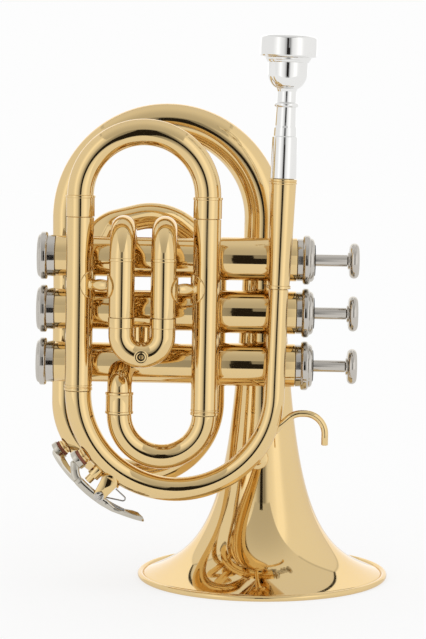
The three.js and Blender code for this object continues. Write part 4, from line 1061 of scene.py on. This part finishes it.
def stemPiece(number):
    start = stem["foot"] + seat
    length = buttonX - seat - start
    end = length + stem["tenonLength"]
    outline = [
        (0, axis),
        (0, stem["radius"]),
        (length, stem["radius"]),
        (length, stem["tenon"]),
        (end, stem["tenon"]),
        (end, axis),
    ]
    grid = solidGrid(straight(onValve(number, start), [1, 0, 0], length), outline, edge=0.2)
    piece(f"stem_{number}", [grid], [f"valve_stem_{number}"], "nickel_plate", f"valve_{number}")


def buttonPiece(number):
    b = button
    half = (b["thickness"] - b["hubLength"]) / 2
    inner = b["radius"] - half * b["flat"]
    low, high = b["hubLength"], b["thickness"]
    hollow, socket = stem["tenonLength"], stem["tenon"] + seat
    outline = [
        (0, socket),
        (0, b["hub"]),
        (low, b["hub"]),
        *quarterArc((low, inner), (low + half, b["radius"]), 9, True),
        *quarterArc((high - half, b["radius"]), (high, inner), 9, False),
        (high - b["hollow"] / 2, b["hub"]),
        (high - b["hollow"] / 2, axis),
        (hollow, axis),
        (hollow, socket),
    ]
    disc = loopGrid(straight(onValve(number, buttonX), [1, 0, 0]), outline, edge=0.3)
    piece(f"button_{number}", [disc], [f"finger_button_{number}"], "nickel_plate", f"valve_{number}")


knuckle = {"radius": 5.8, "wall": 0.55, "places": {1: -50.1, 2: -60.2}}


def knucklePiece(upper, x):
    # a short tube between two casings, both ends wrapped on their skins
    start, end = onValve(upper, x), onValve(upper + 1, x)
    line = straight(start, end - start, float(np.linalg.norm(end - start)))
    outer, bore = even(line, knuckle["radius"]), even(line, knuckle["radius"] - knuckle["wall"])
    points = tubeGrid(line, outer, bore, edge=0.05, stood=np.asarray)["points"]
    drop = np.sqrt(np.maximum((valve["casingRadius"] + skin) ** 2 - points[..., 1] ** 2, 0))
    points[..., 2] = np.clip(points[..., 2], end[2] + drop, start[2] - drop)
    grid = {"points": leaning(points), "loop": True}
    piece(f"knuckle_{upper}_{upper + 1}_tube", [grid], [f"knuckle_{upper}_{upper + 1}"])


for number in (1, 2, 3):
    casing(number)
    capPiece("bottom", number, bottomCap, valve["startX"], -1)
    capPiece("top", number, topCap, valve["endX"], 1)
    feltPiece(number)
    stemPiece(number)
    buttonPiece(number)
for upper, x in knuckle["places"].items():
    knucklePiece(upper, x)
print("scene: valves")

# Valve slides

valveSlide = {
    "outerRadius": 5.9,
    "wall": 0.5,
    "ferruleRadius": 6.15,
    "ferruleLength": 4.6,
    "beadRadius": 6.15,
    "beadWidth": 1.1,
}
slideBore = valveSlide["outerRadius"] - valveSlide["wall"]
firstSlide = {
    "leftX": -68.8,
    "spacing": 19.2,
    "top": 171.8,
    "ring": 157.1,  # height of a ring on each outer tube
    "ringWidth": 0.9,
    "joint": 131.3,  # where the bow's ferrules meet the outer tubes, as in the other two
    "bow": 113.6,  # the bow's end
    "leg": 21,
}
secondSlide = {"leftX": -69.8, "spacing": 19.2, "joint": 15.6, "bow": 28.4, "leg": 5}
thirdSlide = {
    "leftX": -71.7,
    "spacing": 20.8,
    "plane": 50,
    "corner": 9,
    "joint": 140,
    "bow": 155.6,
    "leg": 23,
}


def outerTube(name, corners, bends, number, ring=None):
    # the line ends in the casing
    line = route(corners, bends)
    radius, bead = valveSlide["outerRadius"], valveSlide["beadRadius"]
    outer = even(line, radius)
    if ring:
        top = ring + firstSlide["ringWidth"]
        outer[1:1] = [(ring - slope, radius), (ring, bead), (top, bead), (top + slope, radius)]
    piece(name + "_tube", [casingEnd(line, number, outer, even(line, slideBore))], [name])


def slideTubes(side, shift):
    f, s, t = firstSlide, secondSlide, thirdSlide
    x = f["leftX"] + shift * f["spacing"]
    low, high = (x, firstSlidePlane, f["joint"]), (x, firstSlidePlane, f["top"])
    corners = [low, high, (x, 0, f["top"]), onValve(1, x)]
    outerTube(f"first_slide_outer_{side}", corners, [-firstSlidePlane / 2] * 2, 1, f["ring"] - f["joint"])
    x = s["leftX"] + shift * s["spacing"]
    outerTube(f"second_slide_outer_{side}", [(x, s["joint"], valve["heights"][2]), onValve(2, x)], [], 2)
    x = t["leftX"] + shift * t["spacing"]
    corners = [(x, t["plane"], t["joint"]), (x, t["plane"], valve["heights"][3]), onValve(3, x)]
    outerTube(f"third_slide_outer_{side}", corners, [t["corner"]], 3)


def slideBow(word, look, reach, stood):
    # the legs start at reach, and stood puts an x and a distance along the legs into place
    left, right = look["leftX"], look["leftX"] + look["spacing"]
    corners = [stood(left, reach), stood(left, look["bow"]), stood(right, look["bow"]), stood(right, reach)]
    radius = valveSlide["outerRadius"]
    bowPiece(f"{word}_slide", corners, look["leg"], slideBore - legGap, valveSlide, radius)


def slideBows():
    f, s, t = firstSlide, secondSlide, thirdSlide
    slideBow("first", f, f["joint"] - seat + f["leg"], lambda x, z: (x, firstSlidePlane, z))
    slideBow("second", s, s["joint"] + seat - s["leg"], lambda x, y: (x, y, valve["heights"][2]))
    slideBow("third", t, t["joint"] + seat - t["leg"], lambda x, z: (x, t["plane"], z))


knob = {
    "radius": 3.3,
    "thickness": 1.5,
    "neck": 1.7,
    "neckLength": 0.9,
    # its edge: distance from the neck or from the end, how far in
    "edgeRows": ((0, 0.2), (0.3, 0)),
    "faceRows": ((-0.5, 0), (-0.1, 0.5), (-0.15, 1.0), (0, 1.5)),
    "dimple": 0.9,
    "dimpleDepth": 0.5,
}


def knobPiece():
    k = knob
    end = k["neckLength"] + k["thickness"]
    outline = [
        (0, axis),
        (0, k["neck"]),
        (k["neckLength"], k["neck"]),
        *((k["neckLength"] + d, k["radius"] - inward) for d, inward in k["edgeRows"]),
        *((end + d, k["radius"] - inward) for d, inward in k["faceRows"]),
        (end, k["dimple"]),
        (end - k["dimpleDepth"], k["dimple"] * 0.6),
        (end - k["dimpleDepth"], axis),
    ]
    x = firstSlide["leftX"] + firstSlide["spacing"] / 2
    start = (x, firstSlidePlane - valveSlide["outerRadius"] - skin, firstSlide["bow"])
    grid = solidGrid(straight(start, [0, -1, 0]), outline)
    piece("first_slide_pull_knob", [grid], ["first_slide_knob"], body="first_slide")


for side, shift in (("left", 0), ("right", 1)):
    slideTubes(side, shift)
slideBows()
knobPiece()
print("scene: valve slides")

# Braces and finger hook

rodFlare = {"radius": 1.1, "length": 0.45, "root": 1.5}  # where a rod meets its plate, and runs on inside it


def barrelRod(start, end, insets, middle, waist):
    # radius = waist + (middle - waist) sin(pi t) + a flare that dies out away from both plates
    length = float(np.linalg.norm(end - start))
    free, root = length - sum(insets), rodFlare["root"]
    t = np.linspace(0, 1, 24)
    flare = rodFlare["radius"] * np.exp(-np.minimum(t, 1 - t) * free / rodFlare["length"])
    radius = waist + (middle - waist) * np.sin(math.pi * t) + flare
    low, high = insets[0], length - insets[1]
    outline = [(low - root, waist), *zip(low + free * t, radius), (high + root, waist)]
    return solidGrid(straight(start, end - start, length), outline, edge=0.02)


brace = {
    "mainRadius": 6.9,
    "mainDegrees": 22,
    "slideRadius": 5.8,
    "slideDegrees": -7,
    "thickness": 1.0,
    "rod": 2.75,
    "rodEnd": 1.9,
    "leftHeight": 145.4,
    "rightHeight": 144.1,
}


def slideBrace(side, mainX, slideX, height):
    main, slide = np.array([mainX, frontPlane, height]), np.array([slideX, firstSlidePlane, height])
    towards = 1 if slideX > mainX else -1
    grids, insets = [], []
    for place, sign, word, tube in (
        (main, towards, "main", tuning["outerRadius"]),
        (slide, -towards, "slide", valveSlide["outerRadius"]),
    ):
        angle = math.radians(brace[word + "Degrees"])
        out = [sign * math.cos(angle), -math.sin(angle), 0]
        grids.append(wrappedDisc(place, [0, 0, 1], out, tube, brace[word + "Radius"], brace["thickness"]))
        insets.append(tube + brace["thickness"] - slope)
    grids.append(barrelRod(main, slide, insets, brace["rod"], brace["rodEnd"]))
    piece(f"slide_brace_rod_{side}", grids, [f"slide_brace_{side}"])


bellBrace = {
    "degrees": -42,
    "drop": 6.4,  # from the leadpipe to the bell
    "rod": 2.2,
    "waist": 1.7,
    "flange": 5.2,
    "thickness": 1.0,
    "footRows": ((-1.9, 2.6), (-0.9, 5.2), (1.2, 5.2)),  # distance from the bell's skin, radius
    "insets": (0.6, 1.6),  # how far the rod's ends stand off the leadpipe and the bell
    "discOut": 0.25,
}


def bellBracePiece():
    b = bellBrace
    start = polar(leadCentre, b["degrees"], lead["bend"], frontPlane)
    end = np.array([0, bellPlane, start[2] - b["drop"]])
    radius = bellRadius(end[2])
    reach = float(np.linalg.norm(end - start)) - radius
    rows = [(reach + d, r) for d, r in b["footRows"]]
    foot = solidGrid(straight(start, end - start), [(rows[0][0], axis), *rows, (rows[-1][0], axis)], edge=0.3)
    tangent = outward(b["degrees"] + 90)
    tube = lead["footRadius"] + b["discOut"]
    disc = wrappedDisc(start, tangent, [0, 1, 0], tube, b["flange"], b["thickness"])
    insets = (lead["footRadius"] + b["insets"][0], radius + b["insets"][1])
    piece("bell_brace_rod", [disc, barrelRod(start, end, insets, b["waist"], b["rod"]), foot], ["bell_brace"])


hook = {
    "wire": 1.6,
    "corners": ((3.0, 77.6), (12.6, 86.2), (27.1, 86.2), (27.1, 71.3)),
    "bends": (9.0, 9.6),
    "rootRows": ((0, 0.5), (2.2, 0.35), (4.0, 0.05), (5.5, 0)),  # distance along, how much thicker
}


def hookPiece():
    line = route([(x, frontPlane, z) for x, z in hook["corners"]], hook["bends"])
    wire, length = hook["wire"], line["length"]
    thick = [(d, wire + more) for d, more in hook["rootRows"]]
    outline = [(0, axis), *thick, (length, wire), (length, axis)]
    piece("finger_hook_wire", [solidGrid(line, outline, edge=0.5)], ["finger_hook"])


slideBrace("left", lead["leftX"], firstSlide["leftX"], brace["leftHeight"])
slideBrace("right", tuning["rightX"], firstSlide["leftX"] + firstSlide["spacing"], brace["rightHeight"])
bellBracePiece()
hookPiece()
print("scene: braces and hook")

# Water key: degrees go round the centre of the leadpipe's bow, and a rise is measured from its middle line

pivot = {"degrees": 234.4, "rise": 14.7, "radius": 1.1}


def onBow(degrees, rise, plane=frontPlane):
    return polar(leadCentre, degrees, lead["bend"] + rise, plane)


pivotPlace = onBow(pivot["degrees"], pivot["rise"])

cork = {"radius": 3.9, "length": 2.3}
corkEnd = nipple["mouth"] + seat + cork["length"]


def corkPieces():
    start = nipple["mouth"] + skin
    outline = [(start, axis), (start, cork["radius"]), (corkEnd, cork["radius"]), (corkEnd, axis)]
    for name, place in (("cork_1", tailNipple), ("cork_2", leadNipple)):
        grid = solidGrid(straight(place, keyWay), outline, edge=0.35)
        piece(f"{name}_pad", [grid], [name], "cork", "water_key")


bar = {"degrees": (237.5, 247.5), "rise": 15.0, "plane": -18.1, "halfWidth": 1.2, "half": 0.6}


def barPiece():
    # the bar under the blade, which the spring's free end rests against
    line = smoothLine([onBow(d, bar["rise"], bar["plane"]) for d in np.linspace(*bar["degrees"], 12)])
    length, wide, half = line["length"], bar["halfWidth"], bar["half"]
    tip = (wide - 0.2, half / 2, 0)
    table = [(0, *tip), (0.4, wide, half, 0), (length - 0.3, wide, half, 0), (length, *tip)]
    piece("water_key_bar", [bladeGrid(line, table)], (), "spring_steel", "water_key")


lever = {
    "degrees": (222, 257),  # from the fork to the blade's tip
    "widens": (239, 246),  # degrees over which the strip becomes the blade
    "rises": (16.1, 17.0),  # of the strip and of the blade
    "planes": (-18.8, frontPlane),
    "bladeStart": 243,
    "stripWidth": 3.6,
    "stripHalf": 2.1,  # half the strip's thickness
    "bladeWidth": 9.0,
    "bladeDish": 2.2,
    "barrelRadius": 2.4,
    "barrelLength": 3.6,
    "armDegrees": 223,
    "armBulge": 1.6,
    "armIn": (0.6, -0.3),  # from a cup's back: where an arm's bend starts, and where it ends
}


def leverBlade():
    # the strip drifts into the blade's plane as it widens, and its middle moves outwards
    k = lever
    degrees = np.linspace(*k["degrees"], 40)
    rises, planes = (np.interp(degrees, k["widens"], k[key]) for key in ("rises", "planes"))
    line = smoothLine([onBow(*place) for place in zip(degrees, rises, planes)])
    length = line["length"]
    share = (k["bladeStart"] - k["degrees"][0]) / (k["degrees"][1] - k["degrees"][0])  # of the strip
    half, wide, deep, dish = k["stripWidth"] / 2, k["bladeWidth"] / 2, k["stripHalf"], k["bladeDish"]
    table = [  # distance, half width, half thickness, dish
        (0, 0.3, 0.6, 0),
        (0.5, half * 0.8, deep * 0.9, 0),
        (2.0, half, deep, 0),
        (length * (share - 0.14), half, deep * 0.95, 0),
        (length * (share - 0.02), half + 0.6, deep * 0.7, 0),
        (length * (share + 0.1), wide * 0.8, 0.8, dish * 0.6),
        (length * (share + 0.22), wide * 0.97, 0.6, dish),
        (length * (share + 0.3), wide, 0.55, dish),
        (length - 3.0, wide * 0.86, 0.5, dish * 0.8),
        (length - 1.2, wide * 0.62, 0.48, dish * 0.5),
        (length - 0.4, wide * 0.36, 0.42, dish * 0.2),
        (length, wide * 0.1, 0.25, 0),
    ]
    return bladeGrid(line, table)


def barrelGrid():
    length, bore = lever["barrelLength"], pivot["radius"] + slope
    outline = [(0, bore), (0, lever["barrelRadius"]), (length, lever["barrelRadius"]), (length, bore)]
    start = [pivotPlace[0], lever["planes"][0] - length / 2, pivotPlace[2]]
    return loopGrid(straight(start, [0, 1, 0]), outline, edge=0.2)


cup = {"radius": 4.6, "depth": 1.3, "floor": 1.3, "gap": 0.25, "edge": (0.4, 1.0)}  # gap: round the cork


def cupAndArm(place):
    # a cup behind its cork, and an arm to it: a quadratic curve from the fork round a bend to the cup's back
    back = corkEnd + seat + cup["floor"]
    inside, rim, floor = cork["radius"] + cup["gap"], corkEnd - cup["depth"], corkEnd + skin
    outline = [
        (rim, inside),
        (rim, cup["radius"]),
        (back - cup["edge"][0], cup["radius"]),
        (back, cup["radius"] - cup["edge"][1]),
        (back, axis),
        (floor, axis),
        (floor, inside),
    ]
    fork = onBow(lever["armDegrees"], lever["rises"][0], lever["planes"][0])
    start, end = (place + keyWay * (back + more) for more in lever["armIn"])
    bend = (start + fork) / 2 + keyWay * lever["armBulge"]
    t = np.linspace(0, 1, 24)[:, None]
    arm = smoothLine((1 - t) ** 2 * fork + 2 * t * (1 - t) * bend + t**2 * end)
    reach = arm["length"]
    table = [  # the same four
        (0, 0.8, 1.2, 0),
        (0.6, 1.5, 2.1, 0),
        (reach * 0.5, 1.3, 2.0, 0),
        (reach - 0.8, 1.8, 2.4, 0),
        (reach, 1.2, 1.8, 0),
    ]
    return [loopGrid(straight(place, keyWay), outline, edge=0.2), bladeGrid(arm, table, power=3.0)]


def leverPiece():
    grids = [leverBlade(), barrelGrid(), *cupAndArm(tailNipple), *cupAndArm(leadNipple)]
    piece("water_key_blade", grids, ["water_key_lever"], "key_plate", "water_key")


def hullOf(circles, count=48):
    # round two circles, each direction takes the point of the circle that reaches further
    angle = np.linspace(0, fullTurn, count, endpoint=False)
    way = np.stack([np.cos(angle), np.sin(angle)], -1)
    first, second = (centre @ way.T + radius for centre, radius in circles)
    near, far = (centre + way * radius for centre, radius in circles)
    return np.where((first >= second)[:, None], near, far)


saddle = {
    "lug": 1.6,
    "lugTip": 2.6,
    "lugBase": 3.9,
    "lugBaseRise": 6.7,
    "lugGap": 6.8,
    "foot": 5.2,
    "footThickness": 1.3,
    "footIn": 0.35,
    "stopDegrees": 226.2,
    "stopFoot": 5.0,
    "stopBaseRise": 9.8,
    "stopRise": 13.2,
    "stopBase": 3.1,
    "stopRadius": 1.9,
}
lugPlanes = [frontPlane + sign * (saddle["lugGap"] + saddle["lug"]) / 2 for sign in (-1, 1)]


def saddlePiece():
    k = saddle
    degrees = pivot["degrees"]
    base = onBow(degrees, k["lugBaseRise"])
    outline = hullOf([(pivotPlace[[0, 2]], k["lugTip"]), (base[[0, 2]], k["lugBase"])])
    grids = [plateGrid(outline, plane - k["lug"] / 2, plane + k["lug"] / 2) for plane in lugPlanes]
    bow = lead["endRadius"] - k["footIn"]
    way, out = outward(degrees + 90), outward(degrees)
    grids.append(wrappedDisc(onBow(degrees, 0), way, out, bow, k["foot"], k["footThickness"]))
    stop = [
        (k["stopFoot"], axis),
        (k["stopFoot"], k["stopBase"]),
        (k["stopBaseRise"], k["stopBase"]),
        (k["stopBaseRise"], k["stopRadius"]),
        (k["stopRise"], k["stopRadius"]),
        (k["stopRise"], axis),
    ]
    line = straight(onBow(k["stopDegrees"], 0), outward(k["stopDegrees"]))
    grids.append(solidGrid(line, stop, edge=0.2))
    piece("water_key_lugs", grids, ["water_key_saddle"])


screw = {
    "head": 2.5,
    "headLength": 1.2,
    "slot": 0.7,
    "slotDepth": 0.6,
    "slotTurn": 40,  # degrees
    "overlap": 0.05,  # of the head's plain part and the shank under it
}


def screwPiece():
    head, depth = screw["head"], screw["slotDepth"]
    start, end = lugPlanes[0] - saddle["lug"] / 2, lugPlanes[1] + saddle["lug"] / 2
    face = start - seat - screw["headLength"]
    grids = []
    for flip in (0, math.pi):
        # half a disc beside the slot: an arc closed by its chord
        chord = math.asin(screw["slot"] / 2 / head)
        angle = np.linspace(chord, math.pi - chord, 30) + math.radians(screw["slotTurn"]) + flip
        outline = pivotPlace[[0, 2]] + head * np.stack([np.cos(angle), np.sin(angle)], -1)
        grids.append(plateGrid(outline, face, face + depth, edge=0.12))
    length, under = end - start + seat, screw["headLength"] - depth + screw["overlap"]
    for low, radius, height, edge in (
        (start - seat - depth - skin, head, under, 0.1),
        (start - seat, pivot["radius"], length, 0.2),
    ):
        outline = [(0, axis), (0, radius), (height, radius), (height, axis)]
        grids.append(solidGrid(straight([pivotPlace[0], low, pivotPlace[2]], [0, 1, 0]), outline, edge))
    piece("water_key_slotted_screw", grids, ["water_key_screw"], "nickel_plate")


spring = {"wire": 0.35, "plane": -15.8, "bend": 1.1, "corners": ((239.3, 8.25), (248.7, 10.9), (237.0, 14.4))}


def springPiece():
    line = route([onBow(*place, spring["plane"]) for place in spring["corners"]], [spring["bend"]])
    outline = [(0, axis), *even(line, spring["wire"]), (line["length"], axis)]
    piece("water_key_wire", [solidGrid(line, outline, 0.1, wireSides)], ["water_key_spring"], "spring_steel")


corkPieces()
barPiece()
leverPiece()
saddlePiece()
screwPiece()
springPiece()
print("scene: water key")

# Camera

camera = {"place": (-24.5, -1050, 221), "pitch": 5.03, "roll": 0.2, "lens": 124.8}


def makeCamera():
    data = bpy.data.cameras.new("camera")
    data.lens = camera["lens"]
    data.sensor_width = 36
    data.clip_end = 20
    data.dof.use_dof = False
    obj = bpy.data.objects.new("camera", data)
    bpy.context.scene.collection.objects.link(obj)
    tilt = Matrix.Rotation(math.radians(90 - camera["pitch"]), 4, "X")
    roll = Matrix.Rotation(math.radians(camera["roll"]), 4, "Z")
    obj.matrix_world = Matrix.Translation(Vector(upright([camera["place"]])[0])) @ tilt @ roll
    bpy.context.scene.camera = obj


# Floor, backdrop and what the metals see, in metres

stage = {
    "backdrop": (0.982, 0.982, 0.982),
    "floorShare": 0.72,  # of the backdrop's white in the floor, where the rest is lit and keeps the shadow
    "floorRoughness": 0.9,
    "floorSide": 4,
    "floorBack": 6,
    "frontEdge": -0.40,  # the table ends this far in front of the object
    # the dark gaps round the camera, from its place: left, right, low, high
    "slots": ((-0.12, 0.108, -0.32, 0.28), (-0.115, 0.02, 0.28, 0.60)),
    "slotColour": (0.02, 0.017, 0.015),
    "slotAhead": 0.02,
    # shiny surfaces see a box of pale cloth, its walls this far from the object and its roof this far up
    "boxRight": 1.0,
    "boxLeft": 1.15,
    "boxBack": 1.5,
    "boxFront": 3.1,
    "boxTop": 1.46,
    # the walls: degrees to the right of the camera, brightness
    "walls": (
        *((-180, 1.28), (-143.5, 1.24), (-142.7, 0.70), (-141.9, 0.94), (-68, 0.94)),
        *((-60, 1.02), (-52, 1.14), (-46, 1.27), (-42, 1.24), (-30, 1.00), (-22, 0.90)),
        *((-18, 0.78), (-15, 0.63), (-11, 0.48), (-8, 0.38), (5, 0.30), (9, 0.62)),
        *((13, 0.88), (17, 0.98), (25, 1.06), (31, 1.14), (37, 1.26), (50, 1.26)),
        *((56, 1.12), (61, 1.03), (68, 1.00), (145.6, 0.97), (146.3, 0.72)),
        *((147.1, 1.24), (180, 1.28)),
    ),
    "roofTurn": (-0.9, 0.1),  # how far back a way leads, from the roof's front to its back brightness
    "roofFront": 0.60,
    "roofBack": 0.86,
    "roofBlur": 0.03,
    "seam": 0.06,  # half the width of the dark seam under the roof
    "seamDark": (0.04, 0.04, 0.04),
    "seamBeside": 0.25,
}


def seenPart(tree, words):
    # 1 for any of the named kinds of ray
    path = added(tree, "LightPath", {})
    seen = path.outputs[words[0]]
    for word in words[1:]:
        seen = maths(tree, "MAXIMUM", seen, path.outputs[word])
    return seen


def floorMaterial():
    # a pale floor that keeps the shadow: the eye and the metals also see a share of the backdrop's white
    material = bpy.data.materials.new("floor")
    material.use_nodes = True
    tree = material.node_tree
    pale = (*stage["backdrop"], 1)
    shader = tree.nodes["Principled BSDF"]
    fill(tree, shader, {"Base Color": pale, "Roughness": stage["floorRoughness"], "Specular IOR Level": 0})
    emission = added(tree, "Emission", {"Color": pale})
    seen = seenPart(tree, ("Is Camera Ray", "Is Glossy Ray", "Is Transmission Ray"))
    share = maths(tree, "MULTIPLY", seen, stage["floorShare"])
    mix = added(tree, "MixShader", {0: share, 1: shader.outputs[0], 2: emission.outputs[0]})
    fill(tree, tree.nodes["Material Output"], {"Surface": mix.outputs[0]})
    return material


def slotMaterial():
    material = bpy.data.materials.new("camera_slot")
    material.use_nodes = True
    tree = material.node_tree
    tree.nodes.clear()
    emission = added(tree, "Emission", {"Color": (*stage["slotColour"], 1)})
    added(tree, "OutputMaterial", {"Surface": emission.outputs[0]})
    return material


def card(name, corners, material):
    mesh = bpy.data.meshes.new(name)
    mesh.from_pydata(corners, [], [tuple(range(len(corners)))])
    mesh.materials.append(material)
    obj = bpy.data.objects.new(name, mesh)
    bpy.context.scene.collection.objects.link(obj)
    return obj


def makeWorld():
    world = bpy.data.worlds.new("tent")
    bpy.context.scene.world = world
    world.use_nodes = True
    tree = world.node_tree
    toWay = added(tree, "TexCoord", {}).outputs["Generated"]
    way = added(tree, "SeparateXYZ", {0: toWay})
    x, y, z = (way.outputs[word] for word in "XYZ")
    # degrees to the right of the camera, as a share of the full turn
    around = maths(tree, "ARCTAN2", x, maths(tree, "MULTIPLY", y, -1.0))
    share = maths(tree, "ADD", maths(tree, "DIVIDE", around, fullTurn), 0.5)
    walls = added(tree, "ValToRGB", {0: share})
    stops = walls.color_ramp.elements
    while len(stops) < len(stage["walls"]):
        stops.new(0.5)
    for stop, (degrees, value) in zip(stops, stage["walls"]):
        stop.position = degrees / 360 + 0.5
    for stop, (degrees, value) in zip(stops, stage["walls"]):
        stop.color = (value, value, value, 1)
    # a way out of the box meets the wall whose distance, divided by the way's part towards it, is least
    right, left = maths(tree, "DIVIDE", x, stage["boxRight"]), maths(tree, "DIVIDE", x, -stage["boxLeft"])
    back, front = maths(tree, "DIVIDE", y, stage["boxBack"]), maths(tree, "DIVIDE", y, -stage["boxFront"])
    side = maths(tree, "MAXIMUM", right, left)
    rise = maths(tree, "DIVIDE", z, maths(tree, "MAXIMUM", side, maths(tree, "MAXIMUM", back, front)))
    top, seam, blur = stage["boxTop"], stage["seam"], stage["roofBlur"]
    roof = ranged(tree, y, *stage["roofTurn"], stage["roofFront"], stage["roofBack"])
    tent = mixed(tree, ranged(tree, rise, top - blur, top + blur), walls.outputs["Color"], roof)
    fromSeam = maths(tree, "ABSOLUTE", maths(tree, "SUBTRACT", rise, top))
    onSeam = ranged(tree, fromSeam, seam * 0.6, seam, 1.0, 0.0)
    # the seam is dark above the back wall and faint above the side walls, behind the object
    behind = maths(tree, "GREATER_THAN", back, side)
    beside = maths(tree, "MULTIPLY", maths(tree, "GREATER_THAN", y, 0.0), stage["seamBeside"])
    onSeam = maths(tree, "MULTIPLY", onSeam, maths(tree, "MAXIMUM", behind, beside))
    tent = mixed(tree, onSeam, tent, stage["seamDark"])
    light = mixed(tree, seenPart(tree, ["Is Glossy Ray"]), (1.0, 1.0, 1.0), tent)
    colour = mixed(tree, seenPart(tree, ["Is Camera Ray"]), light, stage["backdrop"])
    fill(tree, tree.nodes["Background"], {"Color": colour, "Strength": 1})


def makeStage():
    side, front, behind = stage["floorSide"], stage["frontEdge"], stage["floorBack"]
    corners = [(-side, front, 0), (side, front, 0), (side, behind, 0), (-side, behind, 0)]
    card("floor", corners, floorMaterial())
    dark = slotMaterial()
    eye = bpy.context.scene.camera.location
    y = eye.y + stage["slotAhead"]
    for number, (left, right, low, high) in enumerate(stage["slots"], 1):
        left, right = eye.x + left, eye.x + right
        corners = [(left, y, low), (right, y, low), (right, y, high), (left, y, high)]
        gap = card(f"camera_slot_{number}", corners, dark)
        # only mirror images show it
        gap.visible_camera = gap.visible_diffuse = gap.visible_shadow = gap.visible_volume_scatter = False
    makeWorld()
    bpy.context.scene.view_settings.view_transform = "Standard"


makeCamera()
makeStage()
print("scene: camera and stage")
